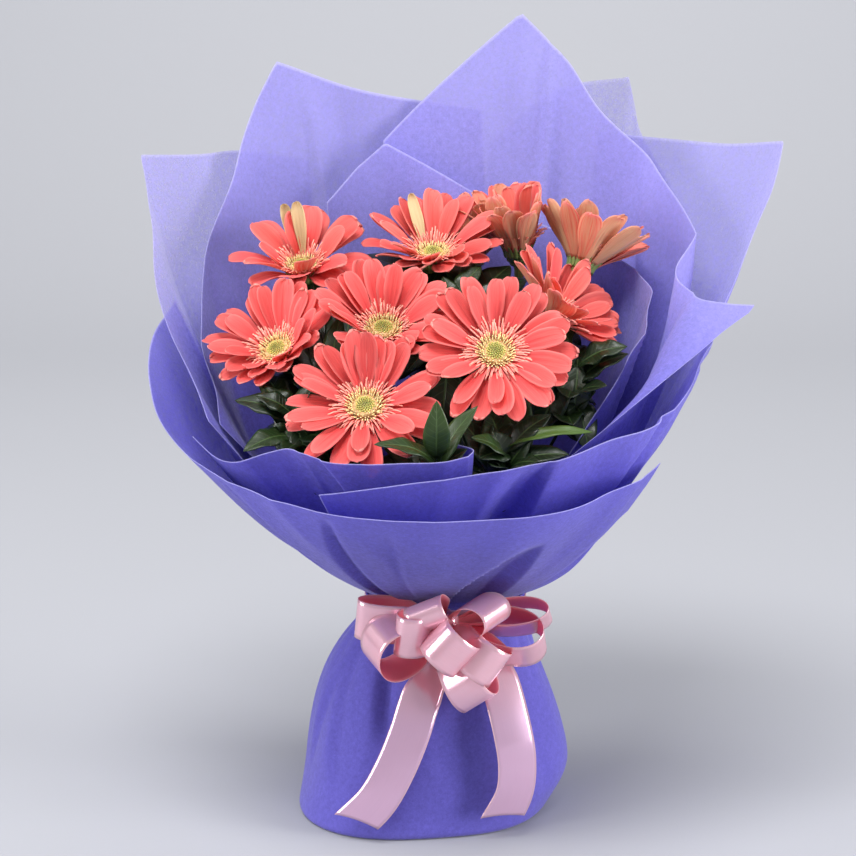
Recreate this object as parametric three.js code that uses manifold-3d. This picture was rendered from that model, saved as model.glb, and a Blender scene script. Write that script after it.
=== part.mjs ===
// A hand-tied bouquet of ten coral gerberas with dark foliage. It is wrapped in violet non-woven
// flower wrap, stands on a closed bag of the same wrap, and is tied at the neck with a pink ribbon
// bow. Millimetres, +Z up, the front faces -Y. The origin is the middle of the bag's flat bottom.

import * as THREE from 'three';
import { mergeVertices } from 'three/addons/utils/BufferGeometryUtils.js';
import Module from 'manifold-3d';

const wasm = await Module();
wasm.setup();

// ---- driving dimensions -------------------------------------------------------------------------

const GAP = 0.35; // clearance between pieces that touch
const AXIS_X = 8; // the neck's axis stands at x = 8, y = 0

const NECK_A = 50; // half width of the bag's neck, left to right
const NECK_B = 38; // half depth of the bag's neck, front to back
const NECK_LOW = 126; // height where the bag's shoulder ends and the neck begins
const NECK_TOP = 139; // top edge of the bag's neck
const BASE_A = 83; // half width of the bag near its base
const BASE_B = 68; // half depth of the bag near its base
const BASE_TURN = 20; // degrees that the base's long axis is turned
const BASE_ROUND = 6; // height of the rounded lower edge
const FLARE = 30; // height up to which the bag's outline changes to that of its foot
const LEFT_POWER = 4; // how late the bag draws in to its neck on the left
const RIGHT_POWER = 1.5; // and on the right
const BAG_WALL = 0.8;

const WRAP_THICKNESS = 0.8; // a doubled, stiffened sheet of non-woven wrap
const WRAP_PITCH = 1.6; // distance from one sheet to the next inside the neck
const WRAP_FOOT = 122; // lower cut edge of the sheets, inside the neck
const WRAP_BEND = 141; // height where the sheets turn outwards

const RIBBON_WIDTH = 25;
const RIBBON_THICKNESS = 0.8;
const BAND_LOW = 128;
const BAND_HIGH = 138;

const PETAL_LENGTH = 39; // from the head's core to the tip, on a bloom of 96 mm
const PETAL_WIDTH = 12.5;
const PETAL_KEEL = 1.3; // thickness along a petal's middle
const CORE_RADIUS = 11;
const CORE_TOP = 1.2; // the core's upper face, above the middle of the head
const CORE_DEPTH = 3.6;
const STEM_RADIUS = 3;
const TWIG_RADIUS = 1.6;
const TIE_RADIUS = 18.9; // inside of the twine round the stems
const TIE_HEIGHT = 131;
const TIE_THICKNESS = 1.6;
const TIE_REACH = 4; // half of the tie's height

// ---- small helpers ------------------------------------------------------------------------------

const radians = THREE.MathUtils.degToRad;
const lerp = THREE.MathUtils.lerp;
const vec = (x, y, z) => new THREE.Vector3(x, y, z);

// A seeded draw in the range -1 to 1, so each build gives the same bouquet.
function makeDraw(seed) {
  let state = seed;
  return () => {
    state = (state * 1664525 + 1013904223) % 4294967296;
    return (state / 4294967296) * 2 - 1;
  };
}

// A place about the neck's axis: azimuth from the front in degrees, radius and height.
function around(azimuth, radius, height) {
  const turn = radians(azimuth);
  return vec(AXIS_X + radius * Math.sin(turn), -radius * Math.cos(turn), height);
}

function geometryOf(points, triangles) {
  const geometry = new THREE.BufferGeometry();
  geometry.setAttribute('position', new THREE.Float32BufferAttribute(points, 3));
  geometry.setIndex(triangles);
  return geometry;
}

// A closed skin over a row of rings. Each ring runs counter-clockwise about the way of travel.
function skin(rings, loops = false) {
  const count = rings[0].length;
  const points = rings.flat().flatMap((p) => [p.x, p.y, p.z]);
  const triangles = [];
  const last = loops ? rings.length : rings.length - 1;
  for (let i = 0; i < last; i += 1) {
    const near = i * count;
    const far = ((i + 1) % rings.length) * count;
    for (let k = 0; k < count; k += 1) {
      const next = (k + 1) % count;
      triangles.push(near + k, near + next, far + next, near + k, far + next, far + k);
    }
  }
  if (!loops) {
    const end = (rings.length - 1) * count;
    for (let k = 1; k < count - 1; k += 1) {
      triangles.push(0, k + 1, k, end, end + k, end + k + 1);
    }
  }
  return geometryOf(points, triangles);
}

// A closed sheet of even thickness over a grid of points, grid[column][row].
function sheet(grid, thickness) {
  const columns = grid.length - 1;
  const rows = grid[0].length - 1;
  const points = [];
  for (const side of [0.5, -0.5]) {
    for (let i = 0; i <= columns; i += 1) {
      for (let j = 0; j <= rows; j += 1) {
        const across = grid[Math.min(i + 1, columns)][j].clone().sub(grid[Math.max(i - 1, 0)][j]);
        const along = grid[i][Math.min(j + 1, rows)].clone().sub(grid[i][Math.max(j - 1, 0)]);
        const normal = across.cross(along).normalize();
        const place = grid[i][j].clone().addScaledVector(normal, side * thickness);
        points.push(place.x, place.y, place.z);
      }
    }
  }
  const half = (columns + 1) * (rows + 1);
  const at = (i, j) => i * (rows + 1) + j;
  const triangles = [];
  const wall = (p, q) => triangles.push(q, p, p + half, q, p + half, q + half);
  for (let i = 0; i < columns; i += 1) {
    for (let j = 0; j < rows; j += 1) {
      const [a, b, c, d] = [at(i, j), at(i + 1, j), at(i + 1, j + 1), at(i, j + 1)];
      triangles.push(a, b, c, a, c, d);
      triangles.push(a + half, c + half, b + half, a + half, d + half, c + half);
    }
  }
  for (let i = 0; i < columns; i += 1) {
    wall(at(i, 0), at(i + 1, 0));
    wall(at(i + 1, rows), at(i, rows));
  }
  for (let j = 0; j < rows; j += 1) {
    wall(at(0, j + 1), at(0, j));
    wall(at(columns, j), at(columns, j + 1));
  }
  return geometryOf(points, triangles);
}

// A tube of even sides along a path, with its own radius at each of its stations.
function tube(path, radii, sides) {
  const rings = path.map((place, i) => {
    const before = path[Math.max(i - 1, 0)];
    const after = path[Math.min(i + 1, path.length - 1)];
    const travel = after.clone().sub(before).normalize();
    const first = vec(0, 1, 0).cross(travel).normalize();
    const second = travel.clone().cross(first);
    return Array.from({ length: sides }, (_, k) => {
      const turn = (2 * Math.PI * k) / sides;
      return place
        .clone()
        .addScaledVector(first, radii[i] * Math.cos(turn))
        .addScaledVector(second, radii[i] * Math.sin(turn));
    });
  });
  return skin(rings);
}

// A blade with a flat face and a keel under it. A station has its place, side and face normal.
function blade(stations) {
  const rings = stations.map(({ place, side, normal, keel }) => [
    place.clone().add(side),
    place.clone().sub(side),
    place.clone().addScaledVector(normal, -keel),
  ]);
  return skin(rings);
}

// Several overlapping closed bodies joined into one, with pockets that the join seals filled.
function fuse(geometries) {
  const solids = geometries.map((geometry) => {
    const welded = mergeVertices(geometry, 1e-5);
    return new wasm.Manifold(
      new wasm.Mesh({
        numProp: 3,
        vertProperties: new Float32Array(welded.attributes.position.array),
        triVerts: new Uint32Array(welded.index.array),
      }),
    );
  });
  const whole = solids.slice(1).reduce((sum, solid) => sum.add(solid), solids[0]);
  const shells = whole.decompose();
  const outer = shells.reduce((best, shell) => (shell.volume() > best.volume() ? shell : best));
  const mesh = outer.getMesh();
  return geometryOf(Array.from(mesh.vertProperties), Array.from(mesh.triVerts));
}

// A smooth run through a row of numbers, broken at the marked corners.
function smoothRun(values, corners, position) {
  const i = Math.min(Math.floor(position), values.length - 2);
  const t = position - i;
  const [p1, p2] = [values[i], values[i + 1]];
  const p0 = i === 0 || corners[i] ? 2 * p1 - p2 : values[i - 1];
  const p3 = i + 2 >= values.length || corners[i + 1] ? 2 * p2 - p1 : values[i + 2];
  const slope = (p2 - p0) / 2;
  const bend = p0 - 2.5 * p1 + 2 * p2 - 0.5 * p3;
  const twist = -0.5 * p0 + 1.5 * p1 - 1.5 * p2 + 0.5 * p3;
  return p1 + t * (slope + t * (bend + t * twist));
}

// ---- the wrap -----------------------------------------------------------------------------------

// A sheet of wrap is a fan of ribs from the neck to its cut edge. A rib holds the azimuth of its
// foot, the azimuth, radius and height that it leans towards on its way, the azimuth, radius and
// height of its rim, and 'corner' where the cut edge turns sharply.
const WRAP_SHEETS = {
  wrap_inner_back: {
    layer: 6,
    columns: 2,
    pleats: 5,
    ribs: [
      [44, 34, 102, 238, 93, 128, 330, 'corner'],
      [72, 80, 114, 222, 122, 129, 342],
      [98, 122, 118, 216, 144, 128, 353],
      [130, 150, 122, 216, 164, 130, 368],
      [160, 174, 124, 216, 180, 128, 388],
      [185, 194, 124, 216, 198, 128, 410, 'corner'],
      [215, 212, 120, 212, 217, 129, 373],
    ],
  },
  wrap_back_right: {
    layer: 5,
    columns: 2,
    ribs: [
      [35, 38, 106, 262, 83, 189, 327, 'corner'],
      [42, 44, 110, 256, 79, 171, 330],
      [50, 58, 118, 244, 80, 152, 334],
      [62, 78, 130, 226, 93, 143, 345],
      [76, 92, 136, 208, 106, 167, 361, 'corner'],
      [108, 126, 142, 198, 138.5, 166, 425],
      [124, 141, 141, 197, 150, 163, 462],
      [140, 154, 140, 196, 161, 155, 493, 'corner'],
      [185, 194, 134, 204, 197, 140, 410],
    ],
  },
  wrap_back_left: {
    layer: 4,
    columns: 2,
    ribs: [
      [158, 166, 148, 196, 171, 158, 428],
      [178, 182, 148, 196, 184, 153, 434],
      [198, 201, 148, 196, 203, 155, 444],
      [214, 220, 150, 196, 222, 165, 463, 'corner'],
      [232, 238, 148, 198, 240, 162, 388],
      [248, 256, 144, 200, 256, 160, 329],
      [262, 268, 132, 206, 268, 155, 300],
      [274, 280, 118, 208, 279, 146, 276],
      [288, 294, 104, 208, 289, 147, 258],
    ],
  },
  wrap_far_left: {
    layer: 3,
    columns: 2,
    ribs: [
      [208, 214, 152, 190, 213, 166, 396],
      [222, 228, 154, 190, 228, 177, 405],
      [236, 242, 156, 190, 241, 186, 406],
      [250, 254, 158, 190, 253, 200, 409, 'corner'],
      [256, 260, 150, 192, 260, 186, 372],
      [264, 268, 142, 194, 266, 180, 340],
      [272, 276, 134, 196, 274, 171, 308],
      [282, 287, 122, 198, 283, 160, 282],
      [292, 296, 110, 198, 291, 155, 262],
    ],
  },
  wrap_inner_left: {
    layer: 2,
    columns: 1,
    ribs: [
      [-82, -80, 98, 174, -77, 161, 248],
      [-70, -67, 95, 172, -66, 154, 241],
      [-60, -57, 92, 174, -57, 148, 243],
      [-50, -48, 92, 176, -48, 142, 252],
      [-42, -40, 88, 178, -40, 139, 257],
      [-34, -31, 84, 180, -31, 137, 252],
      [-25, -22, 82, 180, -22, 132, 252],
      [-15, -12, 80, 180, -12, 127, 253],
      [-6, -3, 78, 181, -3, 122, 253],
      [4, 7, 74, 184, 6, 116, 255, 'corner'],
      [6, 10, 66, 190, 8, 108, 257],
      [2, 5, 62, 194, 3, 101, 259],
    ],
  },
  wrap_right: {
    layer: 1,
    columns: 1,
    ribs: [
      [-35, -31, 90, 170, -31, 147, 231, 'corner'],
      [-20, -14, 86, 171, -13, 141, 243],
      [-2, 5, 84, 172, 6, 138, 249],
      [16, 24, 86, 172, 25, 141, 255],
      [32, 42, 94, 171, 42, 143, 262],
      [46, 58, 106, 170, 58, 150, 268],
      [58, 70, 106, 177, 69, 157, 284],
      [72, 82, 114, 180, 80, 163, 303],
      [86, 92, 120, 182, 92, 174, 322],
      [94, 98, 128, 184, 100, 196, 357],
      [102, 104, 134, 186, 105, 216, 390],
      [110, 110, 142, 188, 109, 229, 416, 'corner'],
      [120, 121, 142, 186, 120, 213, 411],
      [132, 134, 144, 186, 133, 201, 411],
      [146, 148, 148, 186, 147, 190, 414],
    ],
  },
  wrap_right_top: {
    layer: 0,
    columns: 2,
    ribs: [
      [118, 127, 160, 166, 128, 202, 362],
      [128, 136, 166, 162, 138.5, 205, 409],
      [140, 143, 172, 162, 142, 203, 450, 'corner'],
      [156, 156, 168, 172, 156, 186, 440],
      [172, 172, 166, 178, 170, 174, 404],
    ],
  },
  wrap_front: {
    layer: 0,
    columns: 1,
    ribs: [
      [70, 66, 100, 158, 61, 145, 240, 'corner'],
      [58, 52, 94, 159, 49, 148, 235],
      [44, 38, 88, 161, 37, 151, 232],
      [30, 25, 84, 162, 25, 156, 229],
      [10, 8, 82, 163, 8, 159, 228],
      [-8, -10, 82, 163, -10, 160, 228],
      [-24, -25, 84, 162, -25, 161, 229],
      [-38, -39, 90, 160, -38, 160, 232],
      [-54, -56, 92, 161, -55, 159, 235],
      [-68, -71, 98, 164, -71, 167, 240],
      [-76, -79, 104, 168, -78, 180, 258],
      [-84, -87, 112, 170, -85, 186, 281],
      [-96, -97, 118, 172, -95, 186, 302],
      [-112, -112, 128, 174, -110, 184, 314],
    ],
  },
};

// The neck's section is an ellipse; a sheet's foot follows it, nearer the axis layer by layer.
function neckRadius(azimuth, inset) {
  const turn = radians(azimuth);
  const a = NECK_A - inset;
  const b = NECK_B - inset;
  return (a * b) / Math.hypot(b * Math.sin(turn), a * Math.cos(turn));
}

function wrapPoint(data, position, t) {
  const corners = data.ribs.map((rib) => rib[7] === 'corner');
  const value = (n) => smoothRun(data.ribs.map((rib) => rib[n]), corners, position);
  const inset = BAG_WALL + GAP + WRAP_THICKNESS / 2 + data.layer * WRAP_PITCH;
  const footAzimuth = value(0);
  const outer = neckRadius(footAzimuth, inset);
  const bendHeight = WRAP_BEND + 0.8 * data.layer * WRAP_PITCH;
  const wave = data.pleats ? 0.5 - 0.5 * Math.cos(position * Math.PI) : 0;
  const footRadius = lerp(outer, TIE_RADIUS + TIE_THICKNESS + 1, wave); // pleats reach the tie
  if (t < 0) return around(footAzimuth, footRadius, WRAP_FOOT);
  const blend = (foot, lean, rim) => {
    const [early, late] = [lerp(foot, lean, t), lerp(lean, rim, t)];
    return lerp(early, late, t);
  };
  return around(
    blend(footAzimuth, value(1), value(4)),
    blend(footRadius, value(2), value(5)),
    blend(bendHeight, value(3), value(6)),
  );
}

function wrapSheet(data) {
  const steps = 5;
  const total = (data.ribs.length - 1) * data.columns;
  const grid = [];
  for (let i = 0; i <= total; i += 1) {
    const column = [wrapPoint(data, i / data.columns, -1)];
    for (let j = 0; j <= steps; j += 1) column.push(wrapPoint(data, i / data.columns, j / steps));
    grid.push(column);
  }
  return sheet(grid, WRAP_THICKNESS);
}

// ---- the bag, the band and the tie --------------------------------------------------------------

// The outline of the foot reaches furthest to the left and least to the front right: its mean
// radius, its shift towards x and y, and how it is drawn out along x and along the diagonal.
const FOOT_RADIUS = 77.4;
const FOOT_SHIFT = [-4.5, -2.4];
const FOOT_DRAWN = [5.5, 3.25];

function footRadius(turn) {
  const shift = FOOT_SHIFT[0] * Math.cos(turn) + FOOT_SHIFT[1] * Math.sin(turn);
  const drawn = FOOT_DRAWN[0] * Math.cos(2 * turn) + FOOT_DRAWN[1] * Math.sin(2 * turn);
  return FOOT_RADIUS + shift + drawn;
}

function bagRing(height, inset, sides) {
  const rise = Math.min(height / NECK_LOW, 1);
  const low = Math.max(0, BASE_ROUND - height) / BASE_ROUND;
  const round = inset + BASE_ROUND * (1 - Math.sqrt(1 - low * low));
  const turn = radians(BASE_TURN * (1 - rise));
  const foot = Math.max(0, 1 - height / FLARE) ** 1.5;
  return Array.from({ length: sides }, (_, k) => {
    const angle = (2 * Math.PI * k) / sides;
    const grow = 1 - rise ** lerp(LEFT_POWER, RIGHT_POWER, 0.5 + 0.5 * Math.cos(angle));
    const fold = 1.2 * Math.sin(7 * angle + 1) * Math.sin(Math.PI * rise);
    const a = (lerp(NECK_A, BASE_A, grow) + fold) * Math.cos(angle);
    const b = (lerp(NECK_B, BASE_B, grow) + fold) * Math.sin(angle);
    const x = a * Math.cos(turn) - b * Math.sin(turn);
    const y = a * Math.sin(turn) + b * Math.cos(turn);
    const world = Math.atan2(y, x);
    const radius = lerp(Math.hypot(x, y), footRadius(world), foot) - round;
    return vec(AXIS_X * rise + radius * Math.cos(world), radius * Math.sin(world), height);
  });
}

function bag() {
  const sides = 28;
  const outside = [0, 4, 12, 50, 84, 108, NECK_LOW, NECK_TOP];
  const inside = [NECK_TOP, NECK_LOW, 84, 12, BAG_WALL];
  return skin([
    ...outside.map((height) => bagRing(height, 0, sides)),
    ...inside.map((height) => bagRing(height, BAG_WALL, sides)),
  ]);
}

function neckRing(height, outset, sides) {
  return Array.from({ length: sides }, (_, k) => {
    const angle = (2 * Math.PI * k) / sides;
    const x = AXIS_X + (NECK_A + outset) * Math.cos(angle);
    return vec(x, (NECK_B + outset) * Math.sin(angle), height);
  });
}

function ribbonBand() {
  const sides = 28;
  const far = GAP + RIBBON_THICKNESS;
  return skin(
    [
      neckRing(BAND_LOW, far, sides),
      neckRing(BAND_HIGH, far, sides),
      neckRing(BAND_HIGH, GAP, sides),
      neckRing(BAND_LOW, GAP, sides),
    ],
    true,
  );
}

function tie() {
  const sides = 16;
  const ring = (radius, height) =>
    Array.from({ length: sides }, (_, k) => around((360 * k) / sides, radius, height));
  return skin(
    [
      ring(TIE_RADIUS + TIE_THICKNESS, TIE_HEIGHT - TIE_REACH),
      ring(TIE_RADIUS + TIE_THICKNESS, TIE_HEIGHT + TIE_REACH),
      ring(TIE_RADIUS, TIE_HEIGHT + TIE_REACH),
      ring(TIE_RADIUS, TIE_HEIGHT - TIE_REACH),
    ],
    true,
  );
}

// ---- the ribbon ---------------------------------------------------------------------------------

const KNOT = vec(AXIS_X, -49, 133);
const KNOT_RADIUS = 9;
const KNOT_DEPTH = -KNOT.y - NECK_B - RIBBON_THICKNESS - 2 * GAP; // the knot rests on the band

// Loops of the bow: the middle of the outer bend, the direction of the ribbon's width there, and
// half of the loop's opening.
const BOW_LOOPS = [
  { tip: [-47, -53, 138], width: [-0.1, -0.1, 1], open: 8 },
  { tip: [-38, -70, 118], width: [0.45, -0.8, -0.3], open: 17 },
  { tip: [-20, -80, 134], width: [0.05, -0.1, 1], open: 9 },
  { tip: [-6, -80, 150], width: [0.95, 0, 0.3], open: 8 },
  { tip: [12, -93, 126], width: [0.64, 0.1, 0.77], open: 13 },
  { tip: [38, -81, 150], width: [0.92, 0.1, 0.4], open: 9 },
  { tip: [38, -86, 115], width: [0.61, 0, 0.79], open: 12 },
  { tip: [68, -66, 126], width: [-0.3, -0.6, 0.7], open: 13 },
  { tip: [72, -54, 141], width: [0.2, -0.7, 0.5], open: 8 },
  { tip: [28, -80, 92], width: [0.8, -0.45, 0.3], open: 11 },
];

// A strip of ribbon over stations that hold a place and half of the ribbon's width as a vector.
function ribbonStrip(stations) {
  const grid = stations.map(({ place, half }) => [
    place.clone().sub(half),
    place.clone().add(half),
  ]);
  return sheet(grid, RIBBON_THICKNESS);
}

function bowLoop({ tip, width, open }) {
  const reach = vec(...tip).sub(KNOT);
  const length = reach.length();
  const ahead = reach.normalize();
  const across = vec(...width);
  across.addScaledVector(ahead, -across.dot(ahead)).normalize();
  const aside = ahead.clone().cross(across);
  const steps = 7;
  const stations = [];
  for (let i = 0; i <= steps; i += 1) {
    const s = i / steps;
    const out = lerp(5, length, Math.sin(Math.PI * s) ** 2);
    const swing = open * 1.3 * Math.sin(2 * Math.PI * s) * Math.sin(Math.PI * s);
    const start = 1.4 * Math.cos(Math.PI * s);
    const half = (RIBBON_WIDTH / 2) * (0.15 + 0.85 * Math.sin(Math.PI * s) ** 2);
    stations.push({
      place: KNOT.clone().addScaledVector(ahead, out).addScaledVector(aside, swing + start),
      half: across.clone().multiplyScalar(half),
    });
  }
  return ribbonStrip(stations);
}

function bow() {
  const knot = new THREE.SphereGeometry(1, 10, 6).scale(KNOT_RADIUS, KNOT_DEPTH, KNOT_RADIUS);
  knot.deleteAttribute('normal').deleteAttribute('uv');
  knot.translate(KNOT.x, KNOT.y, KNOT.z);
  return fuse([knot, ...BOW_LOOPS.map(bowLoop)]);
}

const TAILS = {
  ribbon_tail_left: [
    [4, -44, 120],
    [1, -54, 106],
    [-8, -66, 88],
    [-15, -74, 68],
    [-24, -78, 47],
    [-35, -80, 28],
    [-50, -79, 12],
  ],
  ribbon_tail_right: [
    [14, -44.5, 121],
    [33, -52, 112],
    [42, -61, 96],
    [49, -71.5, 71],
    [52, -74, 50],
    [50, -75, 31],
    [41, -75.5, 13],
  ],
};

function ribbonTail(route) {
  const places = route.map((point) => vec(...point));
  const stations = places.map((place, i) => {
    const before = places[Math.max(i - 1, 0)];
    const after = places[Math.min(i + 1, places.length - 1)];
    const travel = after.clone().sub(before).normalize();
    const outward = vec(place.x * 0.5, place.y, 0).normalize();
    const half = travel.cross(outward).normalize();
    const full = (RIBBON_WIDTH / 2) * Math.min(1, 0.45 + i * 0.3);
    return { place, half: half.multiplyScalar(full) };
  });
  return ribbonStrip(stations);
}

// ---- blooms -------------------------------------------------------------------------------------

// Each bloom: the middle of its head, the azimuth and elevation that it faces, how far its outer and
// inner petals rise from its flat plane at root and tip, and where and how much they rise more.
const BLOOMS = [
  { at: [-82, 30, 341], faces: [-10, 66], outer: [30, -10], inner: [62, 48], lift: [90, 25] },
  { at: [-95, -20, 298], faces: [-28, 50], outer: [26, 6], inner: [44, 30], lift: [0, 22] },
  { at: [-30, -32, 313], faces: [0, 58], outer: [28, 14], inner: [42, 28], lift: [90, 12] },
  { at: [0, 32, 349], faces: [0, 70], outer: [28, 6], inner: [46, 26], lift: [90, 22] },
  { at: [-40, -76, 275], faces: [-6, 46], outer: [14, 0], inner: [30, 20], lift: [90, 10] },
  { at: [37, -62, 305], faces: [4, 38], outer: [12, 0], inner: [26, 16], lift: [90, 6] },
  { at: [75, 0, 317], faces: [62, 50], outer: [34, 16], inner: [52, 40], lift: [180, 14] },
  { at: [95, 43, 344], faces: [128, 62], outer: [50, 36], inner: [62, 50], lift: [180, 3] },
  { at: [54, 56, 352], faces: [-20, 78], outer: [58, 44], inner: [60, 55], lift: [-90, 5] },
  { at: [24, 80, 342], faces: [180, 80], outer: [52, 46], inner: [50, 48], lift: [0, 0] },
];

// The layers of ray petals: their number and turn, size, and radius and height of their roots.
const PETAL_LAYERS = [
  { name: 'outer', count: 12, offset: 0, size: 1, start: 9.4, height: -1.1, shares: [0, 0.36, 0.72, 1] },
  { name: 'inner', count: 7, offset: 0.4, size: 0.82, start: 9.9, height: 0.3, shares: [0, 0.6, 1] },
];
const FLORETS = 8;

// A petal's middle line bends evenly from its root rise to its tip rise, both in radians.
function bentLine(length, root, tip, t) {
  const bend = tip - root;
  if (Math.abs(bend) < 1e-3) return [length * t * Math.cos(root), length * t * Math.sin(root)];
  const angle = root + bend * t;
  return [
    (length * (Math.sin(angle) - Math.sin(root))) / bend,
    (length * (Math.cos(root) - Math.cos(angle))) / bend,
  ];
}

function petalWidth(t) {
  if (t < 0.65) return 0.3 + 0.7 * Math.sin((Math.PI * t) / 1.3);
  return Math.sqrt(1 - ((t - 0.65) / 0.4) ** 2);
}

// The middle line of a petal in its bloom's frame: places, face normals and half widths.
function petalLine({ angle, length, width, root, tip, start, height, shares }) {
  const outward = vec(Math.cos(angle), Math.sin(angle), 0);
  const side = vec(-Math.sin(angle), Math.cos(angle), 0);
  return shares.map((t) => {
    const [run, rise] = bentLine(length, root, tip, t);
    const slope = root + (tip - root) * t;
    const place = outward.clone().multiplyScalar(start + run);
    place.z = height + rise;
    const normal = outward.clone().multiplyScalar(-Math.sin(slope));
    normal.z = Math.cos(slope);
    const half = (width / 2) * petalWidth(t);
    const keel = PETAL_KEEL * (1 - 0.45 * t * t);
    return { place, side: side.clone().multiplyScalar(half), normal, keel };
  });
}

// Points over a petal's outer part, in the bouquet's frame, to tell where it would touch another.
function petalTouch(data, frame) {
  const line = petalLine({ ...data, shares: [0.3, 0.5, 0.7, 0.85, 1] });
  return line.flatMap(({ place, side }) =>
    [-1, 0, 1].map((share) => place.clone().addScaledVector(side, share).applyMatrix4(frame)),
  );
}

const taken = [];

// The back of each head is in the way too.
function headTouch(bloom, owner) {
  const frame = bloomFrame(bloom);
  for (const height of [-3, -10]) {
    for (let k = 0; k < 6; k += 1) {
      const turn = (Math.PI * k) / 3;
      const point = vec(7 * Math.cos(turn), 7 * Math.sin(turn), height).applyMatrix4(frame);
      taken.push({ owner, point });
    }
  }
}

const BENDS = [0, 8, -8, 16, -16, 24, -24, 32, 40, 48, 56].map(radians);
const CLEAR = 5;
const STEEPEST = radians(80); // a petal's root leans no further over the disc

function nearest(points, owner) {
  let best = Infinity;
  for (const other of taken) {
    if (other.owner === owner) continue;
    for (const point of points) best = Math.min(best, point.distanceTo(other.point));
  }
  return best;
}

// A petal that would cross another bloom's petal bends up or down until it is clear of it.
function bendClear(data, frame, owner) {
  let choice = null;
  for (const bend of BENDS) {
    const root = Math.min(data.root + bend * 0.5, STEEPEST);
    const bent = { ...data, root, tip: data.tip + bend };
    const points = petalTouch(bent, frame);
    const room = nearest(points, owner);
    if (!choice || room > choice.room + 0.5) choice = { bent, points, room };
    if (room >= CLEAR) break;
  }
  choice.points.forEach((point) => taken.push({ owner, point }));
  return choice.bent;
}

// A short ray floret of the inner ring, a needle with three sides.
function floret(angle, rise) {
  const outward = vec(Math.cos(angle), Math.sin(angle), 0);
  const side = vec(-Math.sin(angle), Math.cos(angle), 0);
  const [near, far] = [outward.clone().multiplyScalar(9.8), outward.clone().multiplyScalar(20)];
  near.z = 0.7;
  far.z = 0.9 + 10 * Math.tan(Math.min(rise, 1.05));
  const normal = vec(0, 0, 1);
  return blade([
    { place: near, side: side.clone().multiplyScalar(1.1), normal, keel: 1.3 },
    { place: far, side: side.clone().multiplyScalar(0.45), normal, keel: 0.7 },
  ]);
}

function petals(bloom, owner) {
  const draw = makeDraw(owner + 11);
  const frame = bloomFrame(bloom);
  const core = new THREE.CylinderGeometry(CORE_RADIUS, CORE_RADIUS, CORE_DEPTH, 12);
  core.rotateX(Math.PI / 2);
  core.deleteAttribute('normal').deleteAttribute('uv');
  core.translate(0, 0, CORE_TOP - CORE_DEPTH / 2);
  const parts = [core];
  const [liftAt, liftBy] = bloom.lift.map(radians);
  for (const layer of PETAL_LAYERS) {
    for (let k = 0; k < layer.count; k += 1) {
      const angle = ((k + layer.offset) / layer.count) * 2 * Math.PI + draw() * 0.05;
      const lift = liftBy * Math.max(0, Math.cos(angle - liftAt)) + draw() * 0.05;
      const data = {
        angle,
        length: PETAL_LENGTH * layer.size * (1 + draw() * 0.05),
        width: PETAL_WIDTH * layer.size * (1 - 0.35 * Math.sin(radians(bloom[layer.name][1]))),
        root: radians(bloom[layer.name][0]) + lift,
        tip: radians(bloom[layer.name][1]) + lift,
        start: layer.start,
        height: layer.height,
        shares: layer.shares,
      };
      parts.push(blade(petalLine(bendClear(data, frame, owner))));
    }
  }
  const rise = radians(bloom.inner[0] + 10);
  for (let k = 0; k < FLORETS; k += 1) parts.push(floret((2 * Math.PI * (k + 0.5)) / FLORETS, rise));
  return fuse(parts);
}

// Disc florets stand as alternate high and low points on a low dome.
function bumpyRing(radius, height, sides, relief, phase) {
  return Array.from({ length: sides }, (_, k) => {
    const bump = (k + phase) % 2 === 0 ? relief : -relief;
    const turn = (2 * Math.PI * k) / sides;
    return vec((radius + bump) * Math.cos(turn), (radius + bump) * Math.sin(turn), height + bump);
  });
}

function openFlorets() {
  const sides = 12;
  const relief = 0.4;
  const low = CORE_TOP + GAP;
  return skin(
    [
      bumpyRing(9.2, low, sides, 0, 0),
      bumpyRing(9.4, 3.4, sides, relief, 0),
      bumpyRing(7, 4.2, sides, relief, 1),
      bumpyRing(5.9, low, sides, 0, 0),
    ],
    true,
  );
}

function button() {
  const sides = 8;
  const relief = 0.25;
  return skin([
    bumpyRing(5.4, CORE_TOP + GAP, sides, 0, 0),
    bumpyRing(4.8, 3.8, sides, relief, 0),
    bumpyRing(2.2, 4.8, sides, relief, 1),
  ]);
}

// The frame of a bloom: x to its right, y up its face, z the way that it faces.
function bloomFrame({ at, faces }) {
  const [azimuth, elevation] = faces.map(radians);
  const front = vec(
    Math.sin(azimuth) * Math.cos(elevation),
    -Math.cos(azimuth) * Math.cos(elevation),
    Math.sin(elevation),
  );
  const right = vec(0, 0, 1).cross(front).normalize();
  const up = front.clone().cross(right);
  return new THREE.Matrix4().makeBasis(right, up, front).setPosition(...at);
}

// ---- stems and foliage --------------------------------------------------------------------------

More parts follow.
